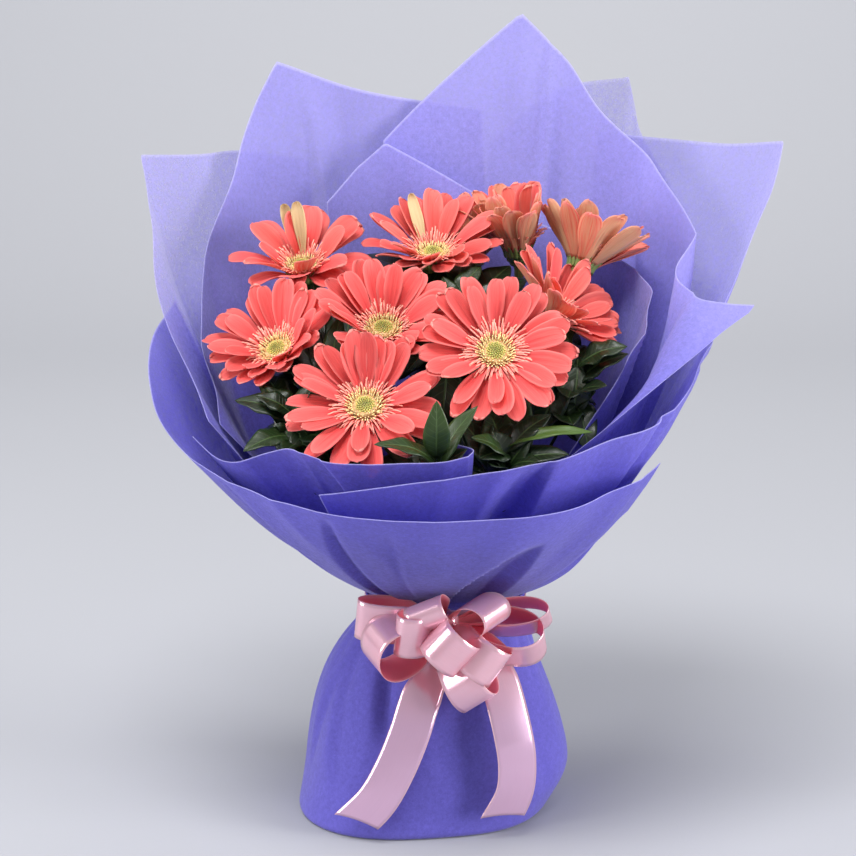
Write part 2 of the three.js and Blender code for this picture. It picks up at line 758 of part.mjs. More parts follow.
// Leafy sprays: the end of the stem, and each leaf's root as a share of the stem, tip and width.
const SPRAYS = [
  {
    end: [-84, -58, 268],
    leaves: [
      [0.97, [-119, -53, 274], 17],
      [0.9, [-112, -84, 250], 17],
      [0.83, [-87, -91, 251], 18],
      [0.99, [-106, -58, 278], 15],
      [0.76, [-66, -103, 248], 17],
      [0.94, [-70, -70, 288], 15],
    ],
  },
  {
    end: [44, -82, 254],
    leaves: [
      [0.93, [22, -100, 262], 15],
      [0.99, [94, -86, 262], 9],
      [0.9, [80, -92, 250], 17],
      [0.82, [34, -104, 246], 18],
      [0.87, [62, -102, 248], 17],
      [0.97, [70, -74, 270], 15],
    ],
  },
  {
    end: [88, -34, 296],
    leaves: [
      [0.97, [117, -43, 305], 18],
      [0.9, [118, -40, 300], 17],
      [0.82, [104, -58, 284], 17],
      [0.95, [66, -26, 312], 13],
    ],
  },
  {
    end: [2, -102, 252],
    leaves: [
      [0.97, [-34, -121, 263], 13],
      [0.99, [2, -116, 288], 16],
      [0.93, [26, -104, 282], 14],
      [0.9, [20, -107, 257], 14],
    ],
  },
  {
    end: [14, -2, 328],
    leaves: [
      [0.95, [6, 4, 340], 12],
      [0.99, [30, 12, 345], 14],
      [0.9, [44, 6, 336], 15],
      [0.87, [0, -14, 330], 11],
    ],
  },
  {
    end: [-62, -42, 286],
    leaves: [
      [0.97, [-76, -34, 308], 14],
      [0.92, [-57, -42, 301], 13],
      [0.99, [-56, -30, 322], 14],
      [0.87, [-86, -44, 290], 15],
    ],
  },
];

// Stems stand side by side inside the tie, each on the side that its head lies on.
function packStems(heads, radii) {
  const places = heads.map(([x, y]) => new THREE.Vector2((x - AXIS_X) * 0.13, y * 0.13));
  for (let round = 0; round < 400; round += 1) {
    for (let i = 0; i < places.length; i += 1) {
      for (let j = 0; j < i; j += 1) {
        const apart = places[i].clone().sub(places[j]);
        const short = radii[i] + radii[j] + 0.7 - apart.length();
        if (short <= 0) continue;
        apart.setLength(short / 2);
        places[i].add(apart);
        places[j].sub(apart);
      }
    }
    places.forEach((place, i) => place.clampLength(0, TIE_RADIUS - GAP - radii[i] * 1.05));
  }
  return places;
}

// A stem passes the tie and bends to meet its head from behind.
function stemCurve(slot, head, back) {
  const waist = vec(AXIS_X + slot.x, slot.y, TIE_HEIGHT);
  const rising = vec(AXIS_X + slot.x * 2.4, slot.y * 2.4, TIE_HEIGHT + 60);
  const arriving = head.clone().addScaledVector(back, 55);
  return new THREE.CubicBezierCurve3(waist, rising, arriving, head);
}

// Below the tie a stem runs straight to its cut end on the bag's floor.
function stemFoot(slot) {
  return vec(AXIS_X * 0.4 + slot.x * 1.6, slot.y * 1.6, BAG_WALL + GAP);
}

const heads = [...BLOOMS.map((bloom) => bloom.at), ...SPRAYS.map((spray) => spray.end)];
const radii = heads.map((_, i) => (i < BLOOMS.length ? STEM_RADIUS : TWIG_RADIUS));
const slots = packStems(heads, radii);

function bloomStem(bloom, slot) {
  const frame = bloomFrame(bloom);
  const inFrame = (z) => vec(0, 0, z).applyMatrix4(frame);
  const back = inFrame(-1).sub(inFrame(0));
  const path = stemCurve(slot, inFrame(-17), back).getPoints(6);
  const places = [stemFoot(slot), ...path, inFrame(-11.5), inFrame(-7), inFrame(CORE_TOP - CORE_DEPTH - GAP)];
  const widths = places.map(() => STEM_RADIUS);
  widths.splice(-3, 3, 4.6, 8.2, 9.4);
  return tube(places, widths, 5);
}

// A leaf arches from its root to its tip and has its midrib as a keel below.
function leaf(root, tip, width) {
  const run = tip.clone().sub(root);
  const side = vec(0, -0.6, 1).cross(run).normalize();
  const normal = run.clone().cross(side).normalize();
  const shares = [0.12, 0.9, 0.86, 0.06];
  const rings = shares.map((share, i) => {
    const t = i / (shares.length - 1);
    const rib = root.clone().addScaledVector(run, t);
    rib.addScaledVector(normal, 0.12 * run.length() * Math.sin(Math.PI * t));
    const edge = side.clone().multiplyScalar((width / 2) * share);
    const keel = rib.clone().addScaledVector(normal, -0.8 - 0.05 * width * share);
    return [rib.clone().add(edge), rib.clone().sub(edge), keel];
  });
  return skin(rings);
}

function spray(data, slot) {
  const curve = stemCurve(slot, vec(...data.end), vec(0, 0, -1));
  const path = [stemFoot(slot), ...curve.getPoints(6)];
  const stem = tube(path, path.map(() => TWIG_RADIUS), 5);
  const blades = data.leaves.map(([t, tip, width]) => leaf(curve.getPoint(t), vec(...tip), width));
  return fuse([stem, ...blades]);
}

// ---- the bouquet --------------------------------------------------------------------------------

const finish = (color, roughness) =>
  new THREE.MeshStandardMaterial({ color, roughness, metalness: 0, flatShading: true });
const CORAL = finish(0xf4625c, 0.6);
const CREAM = finish(0xe8d890, 0.8);
const OLIVE = finish(0xa8a860, 0.8);
const STALK = finish(0x7a9a4a, 0.6);
const LEAF = finish(0x1f3a1c, 0.4);
const VIOLET = finish(0x6a62c8, 0.85);
const LILAC = finish(0x8f88e0, 0.85);
const PINK = finish(0xf0b0c0, 0.3);
const TWINE = finish(0xb09a70, 0.9);

const bouquet = new THREE.Group();

function addNode(name, geometry, material, frame = null) {
  const mesh = new THREE.Mesh(geometry, material);
  mesh.name = name;
  if (frame) mesh.applyMatrix4(frame);
  bouquet.add(mesh);
}

BLOOMS.forEach(headTouch);
BLOOMS.forEach((bloom, i) => {
  const number = String(i + 1).padStart(2, '0');
  const frame = bloomFrame(bloom);
  addNode(`bloom_${number}_petals`, petals(bloom, i), CORAL, frame);
  addNode(`bloom_${number}_disc_florets`, openFlorets(), CREAM, frame);
  addNode(`bloom_${number}_button`, button(), OLIVE, frame);
  addNode(`bloom_${number}_stem`, bloomStem(bloom, slots[i]), STALK);
});

SPRAYS.forEach((data, i) => {
  addNode(`foliage_spray_${i + 1}`, spray(data, slots[BLOOMS.length + i]), LEAF);
});

Object.entries(WRAP_SHEETS).forEach(([name, data]) => {
  addNode(name, wrapSheet(data), data.layer > 2 ? LILAC : VIOLET);
});
addNode('wrap_bag', bag(), VIOLET);
addNode('stem_tie', tie(), TWINE);
addNode('ribbon_band', ribbonBand(), PINK);
addNode('ribbon_bow', bow(), PINK);
Object.entries(TAILS).forEach(([name, route]) => addNode(name, ribbonTail(route), PINK));

export default bouquet;
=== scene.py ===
"""A hand-tied bouquet of coral gerberas in violet non-woven wrap, tied with a pink satin bow.

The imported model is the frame: its pieces keep their places, and the finer pieces made here stand for
them. Lengths are in millimetres until a piece is finished; the front of the bouquet faces -Y.
"""

import math

import bmesh
import bpy
from mathutils import Matrix, Vector, kdtree, noise


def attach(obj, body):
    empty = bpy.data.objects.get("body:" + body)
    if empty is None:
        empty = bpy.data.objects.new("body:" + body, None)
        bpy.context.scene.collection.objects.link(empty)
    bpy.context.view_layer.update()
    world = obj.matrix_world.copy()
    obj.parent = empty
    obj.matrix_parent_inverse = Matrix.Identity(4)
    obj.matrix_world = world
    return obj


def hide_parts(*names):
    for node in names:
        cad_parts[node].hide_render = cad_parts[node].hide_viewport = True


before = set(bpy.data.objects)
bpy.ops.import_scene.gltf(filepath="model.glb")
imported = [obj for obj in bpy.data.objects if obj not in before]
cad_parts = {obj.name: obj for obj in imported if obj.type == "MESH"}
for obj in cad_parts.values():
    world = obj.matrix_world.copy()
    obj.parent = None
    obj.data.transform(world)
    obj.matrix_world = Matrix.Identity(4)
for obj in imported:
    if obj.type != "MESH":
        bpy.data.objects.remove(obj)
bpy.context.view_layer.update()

bl_info = {
    "name": "Wrapped Gerbera Bouquet",
    "version": (1, 0, 0),
    "blender": (4, 5, 0),
    "location": "View3D > Sidebar > Bouquet",
    "description": "Builds a wrapped bouquet of gerberas around its packed frame",
    "category": "Add Mesh",
}

MM = 0.001  # a millimetre in metres
UV_NAME = "UVMap"

# ---- places, the same values as in the part's source ---------------------------------------------

AXIS_X = 8
NECK_A, NECK_B = 50, 38
NECK_LOW, NECK_TOP = 126, 139
BASE_A, BASE_B = 83, 68
BASE_TURN = 20
BASE_ROUND = 4
FLARE = 30
LEFT_POWER, RIGHT_POWER = 4, 1.5
BAG_WALL = 0.8
GAP = 0.35
WRAP_SOLID = 0.8
WRAP_PITCH = 1.6
WRAP_FOOT = 122
WRAP_BEND = 141
TIE_RADIUS = 18.9
TIE_THICKNESS = 1.6
TIE_HEIGHT = 131
TIE_REACH = 4
BAND_LOW, BAND_HIGH = 128, 138
STEM_RADIUS = 3
TWIG_RADIUS = 1.6
CORE_TOP = 1.2
CORE_DEPTH = 3.6


# ---- small helpers -------------------------------------------------------------------------------


def lerp(a, b, t):
    return a + (b - a) * t


def ease(t):
    """A smooth step from 0 to 1."""
    t = min(max(t, 0), 1)
    return t * t * (3 - 2 * t)


def linear(hex_colour):
    """An sRGB hex colour as linear red, green, blue and alpha."""
    parts = [int(hex_colour[i : i + 2], 16) / 255 for i in (1, 3, 5)]
    return [c / 12.92 if c <= 0.04045 else ((c + 0.055) / 1.055) ** 2.4 for c in parts] + [1]


def make_draw(seed):
    """A seeded draw in the range -1 to 1, the same one as in the part's source."""
    state = [seed]

    def draw():
        state[0] = (state[0] * 1664525 + 1013904223) % 4294967296
        return state[0] / 4294967296 * 2 - 1

    return draw


def around(azimuth, radius, height):
    """A place about the neck's axis: azimuth from the front in degrees, radius and height."""
    turn = math.radians(azimuth)
    return Vector((AXIS_X + radius * math.sin(turn), -radius * math.cos(turn), height))


def smooth_run(values, corners, position):
    """A smooth run through a row of numbers, broken at the marked corners."""
    i = min(int(position), len(values) - 2)
    t = position - i
    p1, p2 = values[i], values[i + 1]
    p0 = 2 * p1 - p2 if i == 0 or corners[i] else values[i - 1]
    p3 = 2 * p2 - p1 if i + 2 >= len(values) or corners[i + 1] else values[i + 2]
    bend = p0 - 2.5 * p1 + 2 * p2 - 0.5 * p3
    twist = -0.5 * p0 + 1.5 * p1 - 1.5 * p2 + 0.5 * p3
    return p1 + t * ((p2 - p0) / 2 + t * (bend + t * twist))


def curve_point(points, t):
    """A point at share t of a cubic Bezier curve."""
    a, b, c, d = points
    s = 1 - t
    return a * s**3 + b * (3 * s * s * t) + c * (3 * s * t * t) + d * t**3


def path_point(points, t):
    """A point at share t of a smooth run through a list of places."""
    position = t * (len(points) - 1)
    flat = [False] * len(points)
    return Vector([smooth_run([p[n] for p in points], flat, position) for n in range(3)])


# ---- making pieces -------------------------------------------------------------------------------


def start_mesh(*layers):
    """A new bmesh with a UV map and the named number for each vertex."""
    bm = bmesh.new()
    bm.loops.layers.uv.new(UV_NAME)
    for layer in layers:
        bm.verts.layers.float.new(layer)
    return bm


def add_patch(bm, columns, rows, place, **values):
    """A grid whose vertices go to place(u, v), with u across and v along, each from 0 to 1."""
    made = bmesh.ops.create_grid(bm, x_segments=columns, y_segments=rows, size=0.5, calc_uvs=True)
    for vert in made["verts"]:
        vert.co = place(vert.co.x + 0.5, vert.co.y + 0.5)
        for layer, value in values.items():
            vert[bm.verts.layers.float[layer]] = value
    return made["verts"]


def add_tube(bm, sides, rows, centre, radius, **values):
    """A closed round tube about centre(v) with radius(v), drawn to a point at both ends."""

    def place(u, v):
        inner = min(max((v - 0.02) / 0.96, 0), 1)
        here, after = centre(inner), centre(min(inner + 0.02, 1))
        travel = (after - centre(max(inner - 0.02, 0))).normalized()
        first = Vector((0, 1, 0)).cross(travel).normalized()
        second = travel.cross(first)
        reach = radius(inner) if 0 < v < 1 else 0
        turn = -2 * math.pi * u
        return here + (first * math.cos(turn) + second * math.sin(turn)) * reach

    return add_patch(bm, sides, rows, place, **values)


def add_cone(bm, sides, foot, top, depth, matrix):
    """A closed cone about its own middle, with the radii of its foot and its top."""
    made = bmesh.ops.create_cone(
        bm, cap_ends=True, segments=sides, radius1=foot, radius2=top, depth=depth, matrix=matrix
    )
    return made["verts"]


def weld(bm):
    """Joins the points of a seam and turns all faces outwards."""
    bmesh.ops.remove_doubles(bm, verts=bm.verts, dist=0.01)
    bmesh.ops.recalc_face_normals(bm, faces=bm.faces)


def make_object(bm, name, materials):
    """Turns the bmesh into a smooth object in metres."""
    bmesh.ops.scale(bm, vec=(MM, MM, MM), verts=bm.verts)
    mesh = bpy.data.meshes.new(name)
    bm.to_mesh(mesh)
    bm.free()
    for material in materials:
        mesh.materials.append(material)
    mesh.shade_smooth()
    made = bpy.data.objects.new(name, mesh)
    bpy.context.scene.collection.objects.link(made)
    return made


def finish_piece(bm, name, materials, nodes, wall=0, offset=0):
    """Makes an object that rides on the root and stands for its nodes, and gives it a wall."""
    piece = make_object(bm, name, materials)
    if wall:
        solid = piece.modifiers.new("Wall", "SOLIDIFY")
        solid.thickness = wall * MM
        solid.offset = offset
        solid.material_offset = len(materials) - 1
    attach(piece, "root")
    if nodes:
        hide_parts(*nodes)
    return piece


# ---- materials -----------------------------------------------------------------------------------


def new_material(name):
    """An empty material, and the function that adds a node to it."""
    material = bpy.data.materials.new(name)
    material.use_nodes = True
    tree = material.node_tree
    tree.nodes.clear()

    def add_node(kind, inputs=None, **settings):
        """Adds a node, sets it, and fills its inputs with values, sockets or results of nodes."""
        node = tree.nodes.new("ShaderNode" + kind)
        if kind == "Mix":
            node.data_type = "RGBA"  # every mix here is of two colours
        for key, value in settings.items():
            setattr(node, key, value)
        for key, value in (inputs or {}).items():
            if isinstance(value, bpy.types.Node):
                value = value.outputs[2 if value.bl_idname == "ShaderNodeMix" else 0]
            if isinstance(value, bpy.types.NodeSocket):
                tree.links.new(value, node.inputs[key])
            else:
                node.inputs[key].default_value = value
        return node

    return material, add_node


def petal_material(colours, underside):
    """Ray petal tissue: matt, thin and lit through, with fine grooves from root to tip."""
    material, add_node = new_material("ray_petal_underside" if underside else "ray_petal_tissue")
    split = add_node("SeparateXYZ", {0: add_node("UVMap", uv_map=UV_NAME)})
    across, along = split.outputs[0], split.outputs[1]
    tone = add_node("Attribute", attribute_name="tone").outputs["Fac"]
    dry = add_node("Attribute", attribute_name="dry").outputs["Fac"]
    centred = add_node("Math", {0: across, 1: 2, 2: -1}, operation="MULTIPLY_ADD")
    off_middle = add_node("Math", {0: centred}, operation="ABSOLUTE")
    # four grooves run the length of a petal 12 mm wide, and finer veins between them
    spread = add_node("CombineXYZ", {0: across, 1: along, 2: tone})
    stretched = add_node("Mapping", {0: spread, "Scale": (16, 1.1, 9)})
    veins = add_node("TexNoise", {"Vector": stretched, "Scale": 1.4, "Detail": 4})
    veined = add_node("MapRange", {"Value": veins, "From Min": 0.42, "From Max": 0.66})
    if underside:
        # the backs of the outer petals are tan, striped with coral and olive green
        base = add_node("Mix", {0: veined, 6: linear("#F6B892"), 7: linear("#F4695A")})
        stripe = add_node("MapRange", {"Value": off_middle, "From Min": 0.75, "From Max": 0.2})
        green = add_node("Math", {0: stripe, 1: 0.28}, operation="MULTIPLY")
        striped = add_node("Mix", {0: green, 6: base, 7: linear("#D0AE7C")})
        end = add_node("MapRange", {"Value": along, "From Min": 0.8, "From Max": 0.93})
        colour = add_node("Mix", {0: end, 6: striped, 7: linear("#FF9F94")})
    else:
        deep = list(colours.petal_deep)
        near_root = {"Value": along, "From Min": 0.55, "From Max": 0.05, "To Max": 0.8}
        base = add_node("Mix", {0: add_node("MapRange", near_root), 6: list(colours.petal), 7: deep})
        grooved = add_node("Math", {0: veined, 1: 0.55}, operation="MULTIPLY")
        lined = add_node("Mix", {0: grooved, 6: base, 7: deep})
        edge = add_node("Math", {0: off_middle, 1: 4}, operation="POWER")
        tip = add_node("Math", {0: along, 1: 7}, operation="POWER")
        pale = add_node("Math", {0: edge, 1: tip}, operation="MAXIMUM")
        paled = add_node("Math", {0: pale, 1: 0.4}, operation="MULTIPLY")
        colour = add_node("Mix", {0: paled, 6: lined, 7: list(colours.petal_edge)})
    # a dried petal turns cream and browns at its tip
    browned = add_node("MapRange", {"Value": along, "From Min": 0.78, "From Max": 1, "To Max": 0.75})
    dried = add_node("Mix", {0: browned, 6: linear("#EBD9A8"), 7: linear("#B5803C")})
    worn = add_node("Mix", {0: dry, 6: colour, 7: dried})
    level = add_node("MapRange", {"Value": tone, "To Min": 0.84, "To Max": 1.08})
    shaded = add_node("HueSaturation", {"Value": level, "Color": worn})
    bump = add_node("Bump", {"Height": veins, "Strength": 0.5, "Distance": 0.6 * MM})
    finish = {"Roughness": 0.55, "Specular IOR Level": 0.35, "Sheen Weight": 0.12}
    tissue = add_node("BsdfPrincipled", {"Base Color": shaded, "Normal": bump, **finish})
    through = add_node("BsdfTranslucent", {"Color": shaded})
    mixed = add_node("MixShader", {0: 0.28, 1: tissue, 2: through})
    add_node("OutputMaterial", {0: mixed})
    return material


def floret_material(name, root, tip, roughness):
    """Fleshy floret tissue: small tubes that pale or darken from root to tip."""
    material, add_node = new_material(name)
    rise = add_node("Attribute", attribute_name="rise").outputs["Fac"]
    tone = add_node("Attribute", attribute_name="tone").outputs["Fac"]
    colour = add_node("Mix", {0: rise, 6: root, 7: tip})
    level = add_node("MapRange", {"Value": tone, "To Min": 0.78, "To Max": 1.15})
    shaded = add_node("HueSaturation", {"Value": level, "Color": colour})
    place = add_node("TexCoord").outputs["Object"]
    grain = add_node("TexNoise", {"Vector": place, "Scale": 1 / (0.8 * MM), "Detail": 2})
    bump = add_node("Bump", {"Height": grain, "Strength": 0.3, "Distance": 0.2 * MM})
    finish = {"Roughness": roughness, "Subsurface Weight": 0.15, "Subsurface Scale": 1.5 * MM}
    tissue = add_node("BsdfPrincipled", {"Base Color": shaded, "Normal": bump, **finish})
    add_node("OutputMaterial", {0: tissue})
    return material


def stem_material():
    """Green stem skin: waxy, faintly ribbed, paler in blotches."""
    material, add_node = new_material("stem_skin")
    ribbed = add_node("Mapping", {0: add_node("UVMap", uv_map=UV_NAME), "Scale": (18, 3, 1)})
    ribs = add_node("TexNoise", {"Vector": ribbed, "Scale": 1, "Detail": 3})
    colour = add_node("Mix", {0: ribs, 6: linear("#4E6B2C"), 7: linear("#9DB46A")})
    bump = add_node("Bump", {"Height": ribs, "Strength": 0.4, "Distance": 0.5 * MM})
    skin = add_node("BsdfPrincipled", {"Base Color": colour, "Roughness": 0.45, "Normal": bump})
    add_node("OutputMaterial", {0: skin})
    return material


def leaf_material(colours):
    """Leathery leaf with a waxed upper face: dark green, a pale midrib and sunk side veins."""
    material, add_node = new_material("waxy_leaf")
    split = add_node("SeparateXYZ", {0: add_node("UVMap", uv_map=UV_NAME)})
    tone = add_node("Attribute", attribute_name="tone").outputs["Fac"]
    centred = add_node("Math", {0: split.outputs[0], 1: 2, 2: -1}, operation="MULTIPLY_ADD")
    off_rib = add_node("Math", {0: centred}, operation="ABSOLUTE")
    # side veins leave the midrib forwards, ten to a leaf
    slant = {0: off_rib, 1: -0.14, 2: split.outputs[1]}
    slanted = add_node("Math", slant, operation="MULTIPLY_ADD")
    turned = add_node("Math", {0: slanted, 1: 62.8}, operation="MULTIPLY")
    waved = add_node("Math", {0: turned}, operation="SINE")
    side_vein = add_node("MapRange", {"Value": waved, "From Min": 0.86, "From Max": 1})
    midrib = add_node("MapRange", {"Value": off_rib, "From Min": 0.09, "From Max": 0.03})
    both = {0: side_vein, 1: 0.35, 2: midrib}
    veins = add_node("Math", both, operation="MULTIPLY_ADD", use_clamp=True)
    place = add_node("TexCoord").outputs["Object"]
    mottle = add_node("TexNoise", {"Vector": place, "Scale": 1 / (9 * MM), "Detail": 5})
    green = add_node("Mix", {0: mottle, 6: list(colours.leaf_dark), 7: list(colours.leaf)})
    bright = add_node("Mix", {0: tone, 6: green, 7: linear("#4E6A26")})
    faint = add_node("Math", {0: veins, 1: 0.4}, operation="MULTIPLY")
    colour = add_node("Mix", {0: faint, 6: bright, 7: linear("#5E7A44")})
    bump = add_node("Bump", {"Height": veins, "Strength": 0.5, "Distance": 0.5 * MM}, invert=True)
    wax = {"Coat Weight": 0.1, "Coat Roughness": 0.25, "Specular IOR Level": 0.4, "Roughness": 0.4}
    blade = add_node("BsdfPrincipled", {"Base Color": colour, "Normal": bump, **wax})
    add_node("OutputMaterial", {0: blade})
    return material


def wrap_material(name, colours, opacity, through_share, level):
    """Spun-bonded non-woven: matt, cloudy with pressed fibres, and half clear where it is single.

    The sheets pale from 225 mm up, where they stand single: this is painted backlight, a paler colour in
    place of the light that comes through them from behind, and they are made clearer there too."""
    material, add_node = new_material(name)
    place = add_node("TexCoord").outputs["Object"]
    # fibre clouds of real felt are 1 to 3 mm wide; they are drawn at 3 mm so that they show
    cloud = {"Scale": 1 / (3.2 * MM), "Detail": 5, "Roughness": 0.72}
    fibre = {"Scale": 1 / (1.3 * MM), "Detail": 2, "Distortion": 1.6}
    clouds = add_node("TexNoise", {"Vector": place, **cloud})
    fibres = add_node("TexNoise", {"Vector": place, **fibre})
    felt = add_node("Math", {0: fibres, 1: 0.5, 2: clouds}, operation="MULTIPLY_ADD")
    # level scales the brightness of the whole cloth; below 1 it is painted shade
    tones = {"From Min": 0.5, "From Max": 1.0, "To Min": 0.92 * level, "To Max": 1.08 * level}
    mottle = add_node("MapRange", {"Value": felt, **tones})
    # painted backlight: with height the colour turns to the paler backlit violet, in place of light
    # shining through the single upper sheets from behind; the same mask also makes them clearer
    height = add_node("SeparateXYZ", {0: place}).outputs[2]
    heights = {"Value": height, "From Min": 0.225, "From Max": 0.36}
    single = add_node("MapRange", heights, interpolation_type="SMOOTHSTEP")
    colour = add_node("Mix", {0: single, 6: list(colours.wrap), 7: list(colours.wrap_backlit)})
    base = add_node("HueSaturation", {"Value": mottle, "Color": colour})
    # painted highlight: the cut edges are tinted pale lavender, in place of light catching the edges of
    # the cloth
    cut_edge_highlight = add_node("Attribute", attribute_name="cut").outputs["Fac"]
    tinted = add_node("Mix", {0: cut_edge_highlight, 6: base, 7: linear("#D9D7FA")})
    cover = {"From Min": 0.45, "To Min": opacity - 0.16, "To Max": min(opacity + 0.14, 1)}
    dense = add_node("MapRange", {"Value": felt, "From Max": 1.0, **cover})
    sheer = add_node("Attribute", attribute_name="sheer").outputs["Fac"]
    clearer = add_node("Math", {0: sheer, 1: 0.45, 2: 0.14}, operation="MULTIPLY_ADD")
    taken = add_node("Math", {0: single, 1: clearer}, operation="MULTIPLY")
    less = {0: dense, 1: taken if opacity < 0.9 else 0}
    thinned = add_node("Math", less, operation="SUBTRACT", use_clamp=True)
    bump = add_node("Bump", {"Height": felt, "Strength": 0.35, "Distance": 0.35 * MM})
    sheen = {"Sheen Weight": 0.25, "Sheen Roughness": 0.5, "Specular IOR Level": 0.25}
    body = {"Base Color": tinted, "Roughness": 0.8, "Normal": bump, **sheen}
    felted = add_node("BsdfPrincipled", body)
    through = add_node("BsdfTranslucent", {"Color": tinted})
    lit = add_node("MixShader", {0: through_share, 1: felted, 2: through})
    mixed = add_node("MixShader", {0: thinned, 1: add_node("BsdfTransparent"), 2: lit})
    add_node("OutputMaterial", {0: mixed})
    return material


def satin_material(colours, back):
    """Woven polyester satin: floats of bright filament give sharp highlights, much as metal does.

    Its back, on the insides of the bow's loops, is the duller side of the weave. Its deeper pink is
    partly painted glow, in place of light that bounces and shines through inside the loops."""
    material, add_node = new_material("satin_ribbon_back_painted_glow" if back else "satin_ribbon")
    uv = add_node("UVMap", uv_map=UV_NAME)
    split = add_node("SeparateXYZ", {0: uv})
    centred = add_node("Math", {0: split.outputs[0], 1: 2, 2: -1}, operation="MULTIPLY_ADD")
    off_middle = add_node("Math", {0: centred}, operation="ABSOLUTE")
    # the woven edge is a band 0.6 mm wide on a ribbon of 25 mm
    selvedge = add_node("MapRange", {"Value": off_middle, "From Min": 0.94, "From Max": 0.97})
    drawn = add_node("Mapping", {0: uv, "Scale": (60, 5, 1)})
    floats = add_node("TexNoise", {"Vector": drawn, "Scale": 1, "Detail": 2})
    streak = add_node("MapRange", {"Value": floats, "To Min": 0.93, "To Max": 1.06})
    # painted reflection and shade: below 110 mm the tails' colour turns mauve, in place of the violet
    # wrap reflected in them and the shade under it
    height = add_node("SeparateXYZ", {0: add_node("TexCoord").outputs["Object"]}).outputs[2]
    painted_violet_reflection = add_node("MapRange", {"Value": height, "From Min": 0.11, "From Max": 0.075})
    # the back's deeper pink is partly the duller side of the weave and partly painted glow of light
    # bouncing inside the loops
    face = linear("#FF9BAF") if back else list(colours.ribbon)
    face_with_reflection = add_node("Mix", {0: painted_violet_reflection, 6: face, 7: linear("#DDBBD8")})
    base = add_node("HueSaturation", {"Value": streak, "Color": face_with_reflection})
    edged = add_node("Mix", {0: selvedge, 6: base, 7: linear("#FBD3DA")})
    along = add_node("Tangent", direction_type="UV_MAP", uv_map=UV_NAME)
    bump = add_node("Bump", {"Height": floats, "Strength": 0.08, "Distance": 0.1 * MM})
    metal, rough, clear = (0.1, 0.4, 0.45) if back else (0.5, 0.22, 0.2)
    gloss = {"Metallic": metal, "Roughness": rough, "Specular IOR Level": 0.8, "Anisotropic": 0.5}
    weave = {"Base Color": edged, "Tangent": along, "Sheen Weight": 0.15, "Normal": bump}
    satin = add_node("BsdfPrincipled", {**weave, **gloss})
    through = add_node("BsdfTranslucent", {"Color": linear("#FF9CAC")})
    mixed = add_node("MixShader", {0: clear, 1: satin, 2: through})
    add_node("OutputMaterial", {0: mixed})
    return material


def twine_material():
    """Jute twine: dull tan yarn with loose fibres across its twist."""
    material, add_node = new_material("jute_twine")
    place = add_node("TexCoord").outputs["Object"]
    yarn = add_node("TexNoise", {"Vector": place, "Scale": 1 / (0.9 * MM), "Detail": 3})
    colour = add_node("Mix", {0: yarn, 6: linear("#8A744C"), 7: linear("#C9B488")})
    bump = add_node("Bump", {"Height": yarn, "Strength": 0.6, "Distance": 0.4 * MM})
    fibre = add_node("BsdfPrincipled", {"Base Color": colour, "Roughness": 0.9, "Normal": bump})
    add_node("OutputMaterial", {0: fibre})
    return material


def paper_material(colour):
    """Seamless studio paper: matt, even and pale, with a faint tooth."""
    material, add_node = new_material("studio_paper")
    place = add_node("TexCoord").outputs["Object"]
    tooth = add_node("TexNoise", {"Vector": place, "Scale": 1 / (2 * MM)})
    level = add_node("MapRange", {"Value": tooth, "To Min": 0.985, "To Max": 1.015})
    shade = add_node("HueSaturation", {"Value": level, "Color": colour})
    matt = {"Base Color": shade, "Roughness": 0.9, "Specular IOR Level": 0.1}
    add_node("OutputMaterial", {0: add_node("BsdfPrincipled", matt)})
    return material


# ---- blooms --------------------------------------------------------------------------------------

# The middle of each head, the azimuth and elevation that it faces, how far its outer and inner
# petals rise at root and tip, in which direction and by how much they rise more, how much shorter
# its near petals are, how far its petals have dried, and how many of its petals it has.
BLOOMS = [
    ((-82, 30, 341), (-10, 66), (30, -10), (60, 44), (90, 15), 0.3, 0.04, 0.6),
    ((-95, -20, 298), (-28, 50), (26, 6), (44, 30), (0, 22), 0.3, 0.0, 1),
    ((-30, -32, 313), (0, 58), (28, 14), (42, 28), (90, 12), 0.34, 0.0, 0.9),
    ((0, 32, 349), (0, 70), (28, 6), (46, 26), (90, 22), 0.4, 0.04, 1),
    ((-40, -76, 275), (-6, 46), (14, 0), (30, 20), (90, 10), 0, 0.0, 1),
    ((37, -62, 305), (4, 38), (12, 0), (26, 16), (90, 6), 0, 0.0, 1),
    ((75, 0, 317), (62, 50), (34, 16), (52, 40), (180, 14), 0.1, 0.05, 1),
    ((95, 43, 344), (128, 62), (50, 36), (62, 50), (180, 3), 0, 0.3, 1),
    ((54, 56, 352), (-20, 78), (58, 44), (60, 55), (-90, 5), 0, 0.3, 1),
    ((24, 80, 342), (180, 80), (52, 46), (50, 48), (0, 0), 0, 0.5, 1),
]

# Petals that differ from the rule: bloom, direction, length, width, rise at root and tip, curl of
# the last third, and how far the petal has dried.
ODD_PETALS = [
    (0, 118, 37, 8, 66, 74, 0, 1),
    (0, 96, 38, 8, 72, 80, 0, 1),
    (3, 122, 36, 9, 62, 70, 20, 1),
]

# Rows of ray petals: number, turn, size, radius and height of the roots, and which rise they have.
PETAL_ROWS = [
    (14, 0.0, 1.0, 9.4, -1.4, 0),
    (10, 0.5, 0.98, 9.6, -0.4, 0.45),
    (7, 0.2, 0.84, 9.9, 0.4, 1),
]
ROLL = 0.2  # each petal lies with one edge over its neighbour

# Rows of short strap florets: number, radius of the roots, length, and how pale the roots are.
STRAP_ROWS = [(54, 10.6, 11.5, 0), (48, 10.0, 9, 0.2), (40, 9.4, 6.5, 0.45)]

